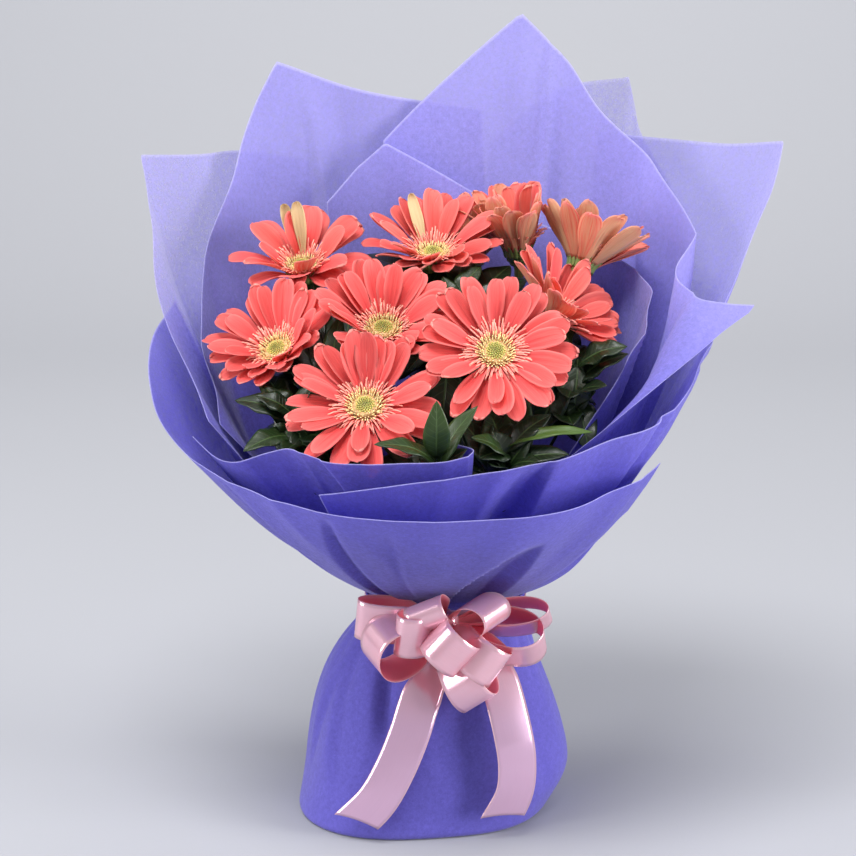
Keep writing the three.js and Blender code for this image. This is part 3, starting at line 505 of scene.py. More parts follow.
BENDS = [0, 6, -6, 12, -12, 18, -18, 26, 34, 42]  # degrees, tried in this order
CLEAR = 4.2  # the room that a petal needs from another bloom
STEEPEST = math.radians(80)
GOLDEN_TURN = 2.39996  # the golden angle in radians, by which buds follow each other


def bloom_frame(bloom):
    """The frame of a bloom: x to its right, y up its face, z the way that it faces."""
    middle, facing = bloom[:2]
    azimuth, elevation = [math.radians(angle) for angle in facing]
    level = math.cos(elevation)
    front = Vector((math.sin(azimuth) * level, -math.cos(azimuth) * level, math.sin(elevation)))
    right = Vector((0, 0, 1)).cross(front).normalized()
    up = front.cross(right)
    turned = Matrix((right, up, front)).transposed().to_4x4()
    return Matrix.Translation(middle) @ turned


def spoke(angle):
    """The direction out from the middle of a head at an angle, and the one to its side."""
    outward = Vector((math.cos(angle), math.sin(angle), 0))
    return outward, Vector((-math.sin(angle), math.cos(angle), 0))


def petal_width(t):
    """The half width of a petal along its length: a strap with a narrow root and a blunt tip."""
    tip = max(0, (t - 0.72) / 0.28) ** 2.3
    return max((0.36 + 0.64 * ease(t / 0.62)) * math.sqrt(max(0, 1 - tip)), 0.03)


def petal_line(data):
    """The middle line of a petal: run, rise and slope at each of its steps."""
    steps = 24
    run, rise, line = 0.0, 0.0, []
    for i in range(steps + 1):
        t = i / steps
        curl = data["curl"] * max(0, (t - 0.6) / 0.4) ** 2
        slope = lerp(data["root"], data["tip"], t) + curl
        line.append((run, rise, slope))
        run += data["length"] / steps * math.cos(slope)
        rise += data["length"] / steps * math.sin(slope)
    return line


def petal_place(data, matrix):
    """The place function of a petal's upper face."""
    line = petal_line(data)
    outward, side = spoke(data["angle"])

    def place(u, v):
        across = 1 - 2 * u
        t = 1 - (1 - v) ** 1.3
        notch = 0.035 * data["notch"] * math.cos(3 * math.pi * across) * ease((t - 0.7) / 0.3)
        position = min(t * (1 - notch), 1) * (len(line) - 1)
        i = min(int(position), len(line) - 2)
        run, rise, slope = [lerp(a, b, position - i) for a, b in zip(line[i], line[i + 1])]
        normal = outward * -math.sin(slope) + Vector((0, 0, math.cos(slope)))
        half = data["width"] / 2 * petal_width(t)
        turn = data["roll"] + data["twist"] * t
        reach = side * math.cos(turn) + normal * math.sin(turn)
        groove = 0.4 * math.cos(3.4 * math.pi * across) * math.sin(math.pi * min(t * 1.1, 1))
        ripple = 0.7 * across * math.sin(data["phase"] + 7 * t) * t
        lift = data["cup"] * half * across * across - groove + ripple
        sway = side * (data["sway"] * t * t)
        point = outward * (data["start"] + run) + reach * (across * half) + normal * lift + sway
        return matrix @ (point + Vector((0, 0, data["height"] + rise)))

    return place


class TakenSpace:
    """The points that finished blooms take up, to bend later petals clear of them."""

    def __init__(self):
        self.trees = []
        self.points = []

    def close_bloom(self):
        tree = kdtree.KDTree(len(self.points))
        for i, point in enumerate(self.points):
            tree.insert(point, i)
        tree.balance()
        self.trees.append(tree)
        self.points = []

    def room(self, points):
        return min((tree.find(p)[2] for tree in self.trees for p in points), default=99)


def bend_clear(data, matrix, taken):
    """Bends a petal up or down until it is clear of the petals of other blooms."""
    best = None
    for bend in BENDS:
        extra = math.radians(bend)
        root = min(data["root"] + extra * 0.5, STEEPEST)
        bent = {**data, "root": root, "tip": data["tip"] + extra}
        place = petal_place(bent, matrix)
        points = [place(u, v) for u in (0, 0.5, 1) for v in (0.3, 0.5, 0.7, 0.85, 1)]
        room = taken.room(points)
        if best is None or room > best[2] + 0.5:
            best = (bent, points, room)
        if room >= CLEAR:
            break
    taken.points.extend(best[1])
    return best[0]


def short_floret(bm, matrix, angle, start, length, rise, pale, draw):
    """A thread-like strap floret of the inner rings, folded along its middle."""
    outward, side = spoke(angle)
    tip_turn = 1.6 * draw()
    tone = 0.5 + 0.5 * draw()

    def place(u, v):
        across = 1 - 2 * u
        slope = rise - 0.35 * v * v
        half = 0.4 * (1.05 - 0.5 * v)
        run = length * v * math.cos(slope)
        lift = length * v * math.sin(slope) + 0.3 * abs(across)
        point = outward * (start + run) + side * (across * half + tip_turn * v * v)
        return matrix @ (point + Vector((0, 0, CORE_TOP - 0.4 + lift)))

    verts = add_patch(bm, 2, 4, place, tone=tone)
    rise_layer = bm.verts.layers.float["rise"]
    for i, vert in enumerate(verts):
        vert[rise_layer] = min(pale + (1 - pale) * (i // 3) / 4, 1)


class BOUQUET_OT_petals(bpy.types.Operator):
    """Adds the ray petals of every bloom, in rows, and the short strap florets inside them"""

    bl_idname = "bouquet.petals"
    bl_label = "Ray Petals"

    def execute(self, context):
        sizes = context.scene.bouquet_sizes
        colours = context.scene.bouquet_colours
        upper = petal_material(colours, False)
        under = petal_material(colours, True)
        strap = floret_material(
            "strap_floret", list(colours.petal_deep), linear("#FFA896"), 0.55
        )
        taken = TakenSpace()
        for number, bloom in enumerate(BLOOMS):
            draw = make_draw(number + 11)
            matrix = bloom_frame(bloom)
            for height in (-3, -10):
                for k in range(6):
                    turn = math.pi * k / 3
                    spot = Vector((7 * math.cos(turn), 7 * math.sin(turn), height))
                    taken.points.append(matrix @ spot)
            bm = start_mesh("tone", "dry")
            core = matrix @ Matrix.Translation((0, 0, CORE_TOP - CORE_DEPTH / 2))
            add_cone(bm, 32, 9, 11, CORE_DEPTH, core)
            outer, inner, lifted, shorter, dried, kept = bloom[2:]
            lift_at, lift_by = [math.radians(angle) for angle in lifted]
            for full, turn, size, start, height, blend in PETAL_ROWS:
                count = round(full * kept)
                for k in range(count):
                    angle = (k + turn) / count * 2 * math.pi + draw() * 0.07
                    lift = lift_by * max(0, math.cos(angle - lift_at)) + draw() * 0.07
                    root = math.radians(lerp(outer[0], inner[0], blend))
                    tip = math.radians(lerp(outer[1], inner[1], blend))
                    near = 1 - shorter * max(0, -math.sin(angle)) ** 0.7
                    data = {
                        "angle": angle,
                        "length": sizes.petal_length / MM * size * near * (1 + draw() * 0.07),
                        "width": sizes.petal_width / MM * size / kept**0.6 * (1 + draw() * 0.12),
                        "root": root + lift,
                        "tip": tip + lift,
                        "curl": draw() * 0.3,
                        "twist": draw() * 0.3,
                        "roll": ROLL + 0.1 * draw(),
                        "sway": 2.2 * draw(),
                        "phase": 3 * draw(),
                        "cup": 0.2 + 0.14 * draw(),
                        "notch": draw(),
                        "start": start,
                        "height": height,
                    }
                    data = bend_clear(data, matrix, taken)
                    dry = dried * (1 + 0.8 * draw()) if draw() > -0.4 else 0
                    place = petal_place(data, matrix)
                    add_patch(bm, 10, 16, place, tone=0.5 + 0.5 * draw(), dry=max(dry, 0))
            for owner, *odd in ODD_PETALS:
                if owner != number:
                    continue
                direction, length, width, root, tip, curl, dry = odd
                data = {
                    "angle": math.radians(direction),
                    "length": length,
                    "width": width,
                    "root": math.radians(root),
                    "tip": math.radians(tip),
                    "curl": math.radians(curl),
                    "twist": 0.2,
                    "roll": 0,
                    "sway": 2,
                    "phase": direction,
                    "cup": 0.3,
                    "notch": 0.4,
                    "start": 9.9,
                    "height": 0.6,
                }
                place = petal_place(data, matrix)
                add_patch(bm, 10, 16, place, tone=0.6, dry=dry)
            name = f"{number + 1:02d}"
            node = f"bloom_{name}_petals"
            finish_piece(
                bm, f"petals_{name}", [upper, under], [node], sizes.petal_wall / MM, -1
            )
            bm = start_mesh("tone", "rise")
            for ring, (count, start, length, pale) in enumerate(STRAP_ROWS):
                for k in range(count):
                    angle = (k + 0.5 * ring) / count * 2 * math.pi + draw() * 0.05
                    lift = lift_by * max(0, math.cos(angle - lift_at))
                    rise = math.radians(inner[0]) + lift + 0.16 + 0.16 * ring + 0.08 * draw()
                    near = 1 - 0.5 * shorter * max(0, -math.sin(angle))
                    reach = length * near * (1 + 0.18 * draw())
                    short_floret(bm, matrix, angle, start, reach, min(rise, 1.42), pale, draw)
            finish_piece(bm, f"strap_florets_{name}", [strap], [], 0.25, -1)
            taken.close_bloom()
        return {"FINISHED"}


class BOUQUET_OT_discs(bpy.types.Operator):
    """Adds the open disc florets and the button of closed buds in the middle of every bloom"""

    bl_idname = "bouquet.discs"
    bl_label = "Disc Florets"

    def execute(self, context):
        colours = context.scene.bouquet_colours
        cream = floret_material("open_disc_floret", linear("#EBC08C"), list(colours.cream), 0.6)
        olive = floret_material("closed_disc_bud", linear("#8C8A3C"), list(colours.olive), 0.55)
        for number, bloom in enumerate(BLOOMS):
            draw = make_draw(number + 301)
            matrix = bloom_frame(bloom)
            name = f"{number + 1:02d}"
            bm = start_mesh("tone", "rise")
            tone_layer = bm.verts.layers.float["tone"]
            rise_layer = bm.verts.layers.float["rise"]
            add_cone(bm, 24, 9.6, 6, 2.2, matrix @ Matrix.Translation((0, 0, CORE_TOP + 0.9)))
            for ring, (radius, count) in enumerate(((9.2, 38), (8.1, 34), (7.0, 28))):
                for k in range(count):
                    turn = (k + 0.5 * ring) / count * 2 * math.pi + 0.06 * draw()
                    lean = 0.75 - 0.22 * ring + 0.2 * draw()
                    height = 3.6 + 0.7 * draw() - 0.3 * ring
                    root = Vector((radius * math.cos(turn), radius * math.sin(turn), CORE_TOP + 0.6))
                    tilt = Matrix.Rotation(turn, 4, "Z") @ Matrix.Rotation(lean, 4, "Y")
                    lift = Matrix.Translation((0, 0, height / 2))
                    place = matrix @ Matrix.Translation(root) @ tilt @ lift
                    made = add_cone(bm, 5, 0.3, 0.38, height, place)
                    knob = bmesh.ops.create_icosphere(
                        bm, subdivisions=1, radius=0.46, matrix=place @ lift
                    )["verts"]
                    tone = 0.5 + 0.5 * draw()
                    for vert in made + knob:
                        vert[tone_layer] = tone
                    for vert in made[len(made) // 2 :] + knob:
                        vert[rise_layer] = 1
            finish_piece(
                bm, f"disc_florets_{name}", [cream], [f"bloom_{name}_disc_florets"]
            )
            bm = start_mesh("tone", "rise")
            tone_layer = bm.verts.layers.float["tone"]
            rise_layer = bm.verts.layers.float["rise"]
            lift = Matrix.Translation((0, 0, CORE_TOP + 0.6))
            dome = matrix @ lift @ Matrix.Diagonal((5.6, 5.6, 2.6, 1))
            bmesh.ops.create_uvsphere(bm, u_segments=20, v_segments=10, radius=1, matrix=dome)
            buds = 70
            for k in range(buds):
                share = math.sqrt((k + 0.5) / buds)
                turn = k * GOLDEN_TURN
                radius = 5.9 * share
                height = CORE_TOP + 0.6 + 2.7 * math.sqrt(max(0, 1 - 0.8 * share * share))
                spot = Vector((radius * math.cos(turn), radius * math.sin(turn), height))
                place = matrix @ Matrix.Translation(spot) @ Matrix.Diagonal((1, 1, 1.5, 1))
                made = bmesh.ops.create_icosphere(
                    bm, subdivisions=1, radius=0.5 + 0.22 * share, matrix=place
                )["verts"]
                tone = 0.5 + 0.5 * draw()
                for vert in made:
                    vert[tone_layer] = tone
                    vert[rise_layer] = min(1, share * 1.1)
            finish_piece(bm, f"button_{name}", [olive], [f"bloom_{name}_button"])
        return {"FINISHED"}


# ---- stems and foliage ---------------------------------------------------------------------------

# The end of each spray's stem, and each leaf's root as a share of the stem, tip, width and how
# bright its green is.
SPRAYS = [
    ((-84, -58, 268), [
        (0.97, (-119, -53, 274), 17, 0), (0.9, (-112, -84, 250), 17, 0.1),
        (0.83, (-87, -91, 251), 18, 0.05), (0.99, (-106, -58, 278), 15, 0),
        (0.76, (-66, -103, 248), 17, 0), (0.94, (-70, -70, 288), 15, 0.1),
    ]),
    ((44, -82, 254), [
        (0.93, (22, -100, 262), 15, 0.2), (0.99, (94, -86, 262), 9, 0.7),
        (0.9, (80, -92, 250), 17, 0), (0.82, (34, -104, 246), 18, 0),
        (0.87, (62, -102, 248), 17, 0), (0.97, (70, -74, 270), 15, 0),
    ]),
    ((88, -34, 296), [
        (0.97, (117, -43, 305), 18, 0.05), (0.9, (118, -40, 300), 17, 0),
        (0.82, (104, -58, 284), 17, 0), (0.95, (66, -26, 312), 13, 0),
    ]),
    ((2, -102, 252), [
        (0.97, (-34, -121, 263), 13, 0.15), (0.99, (2, -116, 288), 16, 0.3),
        (0.93, (26, -104, 282), 14, 0.25), (0.9, (20, -107, 257), 14, 0),
    ]),
    ((14, -2, 328), [
        (0.95, (6, 4, 340), 12, 0.1), (0.99, (30, 12, 345), 14, 0.1), (0.9, (44, 6, 336), 15, 0),
        (0.87, (0, -14, 330), 11, 0),
    ]),
    ((-62, -42, 286), [
        (0.97, (-76, -34, 308), 14, 0), (0.92, (-57, -42, 301), 13, 0),
        (0.99, (-56, -30, 322), 14, 0.15), (0.87, (-86, -44, 290), 15, 0),
    ]),
]
CANOPY_LEAVES = 260  # leaves on long stalks that close the gaps between and below the heads
LEAF_BLADE = 46  # the rest of a longer leaf is stalk


def pack_stems(heads, radii):
    """Stems stand side by side inside the tie, each on the side that its head lies on."""
    places = [Vector(((x - AXIS_X) * 0.13, y * 0.13)) for x, y, _ in heads]
    for _ in range(400):
        for i, place in enumerate(places):
            for j in range(i):
                apart = place - places[j]
                short = radii[i] + radii[j] + 0.7 - apart.length
                if short <= 0:
                    continue
                apart = apart.normalized() * (short / 2)
                places[i] += apart
                places[j] -= apart
        for i, place in enumerate(places):
            limit = TIE_RADIUS - GAP - radii[i] * 1.05
            if place.length > limit:
                place.length = limit
    return places


def stem_slots():
    heads = [bloom[0] for bloom in BLOOMS] + [spray[0] for spray in SPRAYS]
    radii = [STEM_RADIUS] * len(BLOOMS) + [TWIG_RADIUS] * len(SPRAYS)
    return pack_stems(heads, radii)


def stem_curve(slot, head, back):
    """A stem passes the tie and bends to meet its head from behind."""
    waist = Vector((AXIS_X + slot.x, slot.y, TIE_HEIGHT))
    rising = Vector((AXIS_X + slot.x * 2.4, slot.y * 2.4, TIE_HEIGHT + 60))
    return [waist, rising, head + back * 55, head]


def stem_foot(slot):
    """The cut end of a stem, on the bag's floor."""
    return Vector((AXIS_X * 0.4 + slot.x * 1.6, slot.y * 1.6, BAG_WALL + GAP))


def add_bract(bm, matrix, angle, start, depth, length, width, splay):
    """A narrow pointed bract of the green cup behind a head."""
    outward, side = spoke(angle)

    def place(u, v):
        across = 1 - 2 * u
        half = width / 2 * math.sqrt(max(0.01, math.sin(math.pi * (0.3 + 0.7 * v))))
        reach = outward * (start + splay * length * v * v)
        rise = Vector((0, 0, depth + length * v))
        return matrix @ (reach + rise + side * (across * half) - outward * (0.5 * across * across))

    add_patch(bm, 4, 6, place)


class BOUQUET_OT_stems(bpy.types.Operator):
    """Adds a stem with its cup of green bracts under every bloom"""

    bl_idname = "bouquet.stems"
    bl_label = "Flower Stems"

    def execute(self, context):
        skin = stem_material()
        slots = stem_slots()
        for number, bloom in enumerate(BLOOMS):
            matrix = bloom_frame(bloom)
            name = f"{number + 1:02d}"
            back = matrix.to_3x3() @ Vector((0, 0, -1))
            curve = stem_curve(slots[number], matrix @ Vector((0, 0, -17)), back)
            foot = stem_foot(slots[number])
            route = [foot] + [curve_point(curve, i / 10) for i in range(11)]
            route.append(matrix @ Vector((0, 0, -8)))
            bm = start_mesh()
            add_tube(
                bm,
                12,
                60,
                lambda t, route=route: path_point(route, t),
                lambda t: STEM_RADIUS * (1 + 0.5 * ease((t - 0.9) / 0.1)),
            )
            weld(bm)
            # the cup under the head is a turned profile of radius and height
            cup = [(0, -14), (3.4, -13.2), (5.6, -10.5), (7.8, -7), (9.2, -3.6), (9.2, -2.8), (0, -2.8)]
            spine = [bm.verts.new((radius, 0, height)) for radius, height in cup]
            edges = [bm.edges.new(pair) for pair in zip(spine, spine[1:])]
            round_turn = {"axis": (0, 0, 1), "cent": (0, 0, 0), "steps": 24, "angle": 2 * math.pi}
            bmesh.ops.spin(bm, geom=spine + edges, use_merge=True, **round_turn)
            fresh = {vert for edge in edges if edge.is_valid for vert in edge.verts}
            stack = list(fresh)
            while stack:
                for edge in stack.pop().link_edges:
                    for vert in edge.verts:
                        if vert not in fresh:
                            fresh.add(vert)
                            stack.append(vert)
            bmesh.ops.transform(bm, matrix=matrix, verts=list(fresh))
            weld(bm)
            for row, (count, start, depth, length) in enumerate(
                ((14, 5.6, -12.5, 8), (16, 7.6, -9.5, 9.5), (18, 9.2, -6.5, 9))
            ):
                for k in range(count):
                    angle = (k + 0.5 * row) / count * 2 * math.pi
                    bract = start_mesh()
                    add_bract(bract, matrix, angle, start, depth, length, 2.9, 0.34)
                    bmesh.ops.solidify(bract, geom=bract.faces, thickness=0.4)
                    bmesh.ops.recalc_face_normals(bract, faces=bract.faces)
                    scrap = bpy.data.meshes.new("bract")
                    bract.to_mesh(scrap)
                    bract.free()
                    bm.from_mesh(scrap)
                    bpy.data.meshes.remove(scrap)
            finish_piece(bm, f"stem_{name}", [skin], [f"bloom_{name}_stem"])
        return {"FINISHED"}


def leaf_place(root, tip, width, wave):
    """The place function of a leaf on its stalk, which arches and is folded at its midrib."""
    run = tip - root
    side = Vector((0, -0.6, 1)).cross(run).normalized()
    normal = run.cross(side).normalized()
    length = run.length
    stalk = max(0, 1 - LEAF_BLADE / length)

    def place(u, v):
        across = 2 * u - 1
        if stalk:
            v = lerp(0, stalk, v / 0.15) if v < 0.15 else lerp(stalk, 1, (v - 0.15) / 0.85)
        blade = max(0, (v - stalk) / (1 - stalk))
        shape = max(math.sin(math.pi * blade**0.88), 0) ** 0.8
        half = width / 2 * max(shape, 0.09 * (1 - blade))
        rib = root + run * v + normal * (0.12 * length * math.sin(math.pi * v))
        fold = 0.3 * half * abs(across) - 0.16 * half * across * across
        ripple = wave * half * abs(across) * math.sin(5 * math.pi * v + 2 * across)
        return rib + side * (across * half) + normal * (fold + ripple)

    return place


HEAD_BACK, HEAD_REACH = -7, 26  # a leaf tip is clear this far behind a head or beside its middle
LOWERING_STEPS, LOWERING = 8, 3


def below_heads(tip):
    """Lowers the tip of a leaf until it lies behind the head of every bloom near it."""
    for bloom in BLOOMS:
        to_head = bloom_frame(bloom).inverted()
        for _ in range(LOWERING_STEPS):
            place = to_head @ tip
            if place.z < HEAD_BACK or math.hypot(place.x, place.y) > HEAD_REACH:
                break
            tip.z -= LOWERING
    return tip


class BOUQUET_OT_foliage(bpy.types.Operator):
    """Adds the leafy sprays between the blooms, each on its own twig"""

    bl_idname = "bouquet.foliage"
    bl_label = "Foliage Sprays"

    def execute(self, context):
        colours = context.scene.bouquet_colours
        green = leaf_material(colours)
        slots = stem_slots()
        for number, (end, leaves) in enumerate(SPRAYS):
            draw = make_draw(number + 77)
            slot = slots[len(BLOOMS) + number]
            curve = stem_curve(slot, Vector(end), Vector((0, 0, -1)))
            route = [stem_foot(slot)] + [curve_point(curve, i / 8) for i in range(9)]
            bm = start_mesh("tone")
            blades = [(curve_point(curve, t), Vector(tip), width, tone) for t, tip, width, tone in leaves]
            for k in range(CANOPY_LEAVES):
                # the canopy lies below the heads and rises to the back as they do
                reach, turn = 106 * math.sqrt((k + 0.5) / CANOPY_LEAVES), k * 2.4
                x, y = reach * math.cos(turn) - 2, 0.8 * reach * math.sin(turn) - 22
                apart = [(Vector(other[0][:2]) - Vector((x, y))).length for other in SPRAYS]
                if apart.index(min(apart)) != number:
                    continue
                tip = Vector((x, y, 308 - 28 * (k % 2) + 0.64 * y + 9 * draw()))
                root = curve_point(curve, 0.86 + 0.12 * draw())
                blades.append((root, below_heads(tip), 20 + 3 * draw(), 0.03 + 0.03 * draw()))
            for root, tip, width, tone in blades:
                add_patch(bm, 8, 16, leaf_place(root, tip, width, 0.12 + 0.06 * draw()), tone=tone)
            bmesh.ops.solidify(bm, geom=bm.faces, thickness=0.45)
            add_tube(
                bm,
                8,
                40,
                lambda t, route=route: path_point(route, t),
                lambda t: TWIG_RADIUS * (1 - 0.5 * t),
                tone=0.2,
            )
            weld(bm)
            node = f"foliage_spray_{number + 1}"
            finish_piece(bm, f"leafy_spray_{number + 1}", [green], [node])
        return {"FINISHED"}


# ---- the wrap ------------------------------------------------------------------------------------

# A sheet of wrap is a fan of ribs from the neck to its cut edge: the azimuth of the foot, the
# azimuth, radius and height that the rib leans towards, those of its rim, and 1 at a corner.
WRAP_SHEETS = {
    "wrap_inner_back": (6, 5, [
        (44, 34, 102, 238, 93, 128, 330, 1), (72, 80, 114, 222, 122, 129, 342, 0),
        (98, 122, 118, 216, 144, 128, 353, 0), (130, 150, 122, 216, 164, 130, 368, 0),
        (160, 174, 124, 216, 180, 128, 388, 0), (185, 194, 124, 216, 198, 128, 410, 1),
        (215, 212, 120, 212, 217, 129, 373, 0),
    ]),
    "wrap_back_right": (5, 0, [
        (35, 38, 106, 262, 83, 189, 327, 1), (42, 44, 110, 256, 79, 171, 330, 0),
        (50, 58, 118, 244, 80, 152, 334, 0), (62, 78, 130, 226, 93, 143, 345, 0),
        (76, 92, 136, 208, 106, 167, 361, 1), (108, 126, 142, 198, 138.5, 166, 425, 0),
        (124, 141, 141, 197, 150, 163, 462, 0), (140, 154, 140, 196, 161, 155, 493, 1),
        (185, 194, 134, 204, 197, 140, 410, 0),
    ]),
    "wrap_back_left": (4, 0, [
        (158, 166, 148, 196, 171, 158, 428, 0), (178, 182, 148, 196, 184, 153, 434, 0),
        (198, 201, 148, 196, 203, 155, 444, 0), (214, 220, 150, 196, 222, 165, 463, 1),
        (232, 238, 148, 198, 240, 162, 388, 0), (248, 256, 144, 200, 256, 160, 329, 0),
        (262, 268, 132, 206, 268, 155, 300, 0), (274, 280, 118, 208, 279, 146, 276, 0),
        (288, 294, 104, 208, 289, 147, 258, 0),
    ]),
    "wrap_far_left": (3, 0, [
        (208, 214, 152, 190, 213, 166, 396, 0), (222, 228, 154, 190, 228, 177, 405, 0),
        (236, 242, 156, 190, 241, 186, 406, 0), (250, 254, 158, 190, 253, 200, 409, 1),
        (256, 260, 150, 192, 260, 186, 372, 0), (264, 268, 142, 194, 266, 180, 340, 0),
        (272, 276, 134, 196, 274, 171, 308, 0), (282, 287, 122, 198, 283, 160, 282, 0),
        (292, 296, 110, 198, 291, 155, 262, 0),
    ]),
    "wrap_inner_left": (2, 0, [
        (-82, -80, 98, 174, -77, 161, 248, 0), (-70, -67, 95, 172, -66, 154, 241, 0),
        (-60, -57, 92, 174, -57, 148, 243, 0), (-50, -48, 92, 176, -48, 142, 252, 0),
        (-42, -40, 88, 178, -40, 139, 257, 0), (-34, -31, 84, 180, -31, 137, 252, 0),
        (-25, -22, 82, 180, -22, 132, 252, 0), (-15, -12, 80, 180, -12, 127, 253, 0),
        (-6, -3, 78, 181, -3, 122, 253, 0), (4, 7, 74, 184, 6, 116, 255, 1),
        (6, 10, 66, 190, 8, 108, 257, 0), (2, 5, 62, 194, 3, 101, 259, 0),
    ]),
    "wrap_right": (1, 0, [
        (-35, -31, 90, 170, -30, 147, 235, 1), (-20, -14, 86, 171, -13, 141, 243, 0),
        (-2, 5, 84, 172, 6, 138, 249, 0), (16, 24, 86, 172, 25, 141, 255, 0),
        (32, 42, 94, 171, 42, 143, 262, 0), (46, 58, 106, 170, 58, 150, 268, 0),
        (58, 70, 106, 177, 69, 157, 284, 0), (72, 82, 114, 180, 80, 163, 303, 0),
        (86, 92, 120, 182, 92, 174, 322, 0), (94, 98, 128, 184, 100, 196, 357, 0),
        (102, 104, 134, 186, 105, 216, 390, 0), (110, 110, 142, 188, 109, 229, 416, 1),
        (120, 121, 142, 186, 120, 213, 411, 0), (132, 134, 144, 186, 133, 201, 411, 0),
        (146, 148, 148, 186, 147, 190, 414, 0),
    ]),
    "wrap_right_top": (0, 0, [
        (118, 127, 160, 166, 128, 202, 362, 0), (128, 136, 166, 162, 138.5, 205, 409, 0),
        (140, 143, 172, 162, 142, 203, 450, 1), (156, 156, 168, 172, 156, 186, 440, 0),
        (172, 172, 166, 178, 170, 174, 404, 0),
    ]),
    "wrap_front": (0, 0, [
        (70, 66, 100, 158, 61, 145, 240, 1), (58, 52, 94, 159, 49, 148, 235, 0),
        (44, 38, 88, 161, 37, 151, 232, 0), (30, 25, 84, 162, 25, 156, 229, 0),
        (10, 8, 82, 163, 8, 159, 228, 0), (-8, -10, 82, 163, -10, 160, 228, 0),
        (-24, -25, 84, 162, -25, 161, 229, 0), (-38, -39, 90, 160, -38, 160, 232, 0),
        (-54, -56, 92, 161, -55, 159, 235, 0), (-68, -71, 98, 164, -71, 167, 240, 0),
        (-76, -79, 104, 168, -78, 180, 258, 0), (-84, -87, 112, 170, -85, 186, 281, 0),
        (-96, -97, 118, 172, -95, 186, 302, 0), (-112, -112, 128, 174, -110, 184, 314, 0),
    ]),
}


def neck_radius(azimuth, inset):
    turn = math.radians(azimuth)
    a, b = NECK_A - inset, NECK_B - inset
    return a * b / math.hypot(b * math.sin(turn), a * math.cos(turn))


def wrap_point(layer, pleats, ribs, position, t):
    """A point of a sheet: position counts along its ribs, t runs from the neck to the cut edge."""
    corners = [rib[7] for rib in ribs]
    foot_azimuth, lean_azimuth, lean_radius, lean_height, rim_azimuth, rim_radius, rim_height = [
        smooth_run([rib[n] for rib in ribs], corners, position) for n in range(7)
    ]
    outer = neck_radius(foot_azimuth, BAG_WALL + GAP + WRAP_SOLID / 2 + layer * WRAP_PITCH)
    wave = 0.5 - 0.5 * math.cos(position * math.pi) if pleats else 0
    foot_radius = lerp(outer, TIE_RADIUS + TIE_THICKNESS + 1, wave)
    if t < 0:
        return around(foot_azimuth, foot_radius, WRAP_FOOT)
    bend_height = WRAP_BEND + 0.8 * layer * WRAP_PITCH

    def blend(foot, lean, rim):
        return lerp(lerp(foot, lean, t), lerp(lean, rim, t), t)

    return around(
        blend(foot_azimuth, lean_azimuth, rim_azimuth),
        blend(foot_radius, lean_radius, rim_radius),
        blend(bend_height, lean_height, rim_height),
    )


# Folds pressed into the wrap: azimuth and height at either end, how many degrees it takes to sink
# on the left and to rise on the right, its depth, and how flat its floor is. Those under a
# sheet's name are only in it.
FOLDS = {
    "all": [
        (2.6, 141, 24.4, 200, 2.2, 34, 13, 3), (-46, 136, -26, 224, 1.2, 11, 10, 1),
        (58, 142, 66, 205, 8, 9, 6, 1), (-74, 142, -66, 210, 7, 8, 5, 1),
        (100, 142, 104, 260, 7, 8, 5, 1), (150, 142, 146, 290, 8, 9, 5, 1),
        (-110, 142, -116, 250, 7, 8, 5, 1), (-150, 142, -146, 290, 8, 9, 5, 1),
        (180, 142, 184, 300, 7, 8, 4, 1),
    ],
    "wrap_front": [
        (-20, 150, -12, 215, 7, 2, 3, 1), (-64, 160, -60, 236, 2, 9, 4, 1),
    ],
    "wrap_inner_left": [(-29, 190, -33, 256, 15, 4, 5, 1.6)],
    "wrap_right": [
        (15, 178, 25, 256, 11, 9, 14, 1.6), (50, 205, 62, 285, 2, 9, 5, 1),
        (54, 240, 102, 335, 2, 6, 3.5, 1), (80, 210, 104, 330, 6, 2, 3, 1),
    ],
    "wrap_back_right": [(150, 230, 154, 480, 2, 9, 6, 1), (118, 240, 128, 400, 7, 2, 5, 1)],
    "wrap_back_left": [(206, 230, 216, 440, 9, 2, 6, 1), (190, 240, 192, 430, 2, 8, 4, 1)],
    "wrap_far_left": [(236, 210, 240, 400, 2, 8, 5, 1), (262, 200, 262, 330, 6, 2, 4, 1)],
    "wrap_right_top": [(138, 220, 140, 430, 2, 8, 4, 1)],
    "wrap_inner_back": [],
}
SHEER = {"wrap_far_left": 0.6, "wrap_right_top": 0.8, "wrap_right": 0.45}  # how clear it is


def crinkle(name, place):
    """How far a sheet stands in or out at a place: folds and long creases fan from the neck."""
    turn = math.atan2(place.x - AXIS_X, -place.y)
    spread = Vector((math.sin(turn) * 3.4, math.cos(turn) * 3.4, place.z / 150))
    creases = 0.2 - abs(noise.noise(spread))
    reach = ease((place.z - WRAP_BEND) / 70)
    shift = (8 * creases + 2.2 * noise.noise(place / 80)) * reach
    for low_turn, low, high_turn, high, left, right, depth, flat in FOLDS["all"] + FOLDS[name]:
        share = (place.z - low) / (high - low)
        if 0 < share < 1:
            away = math.degrees(turn) - lerp(low_turn, high_turn, share)
            away = (away + 180) % 360 - 180
            away = away / (right * (1 - 0.9 * share)) if away > 0 else -away / left
            shift -= depth * min(1, flat * max(0, 1 - away)) * math.sin(math.pi * share) ** 0.6
    return shift


def narrow_ends(share, count, edge):
    """Moves the second and the last but one of evenly spaced shares close to the ends."""
    k = round(share * count)
    if k in (0, count):
        return k / count
    return lerp(edge, 1 - edge, (k - 1) / (count - 2))


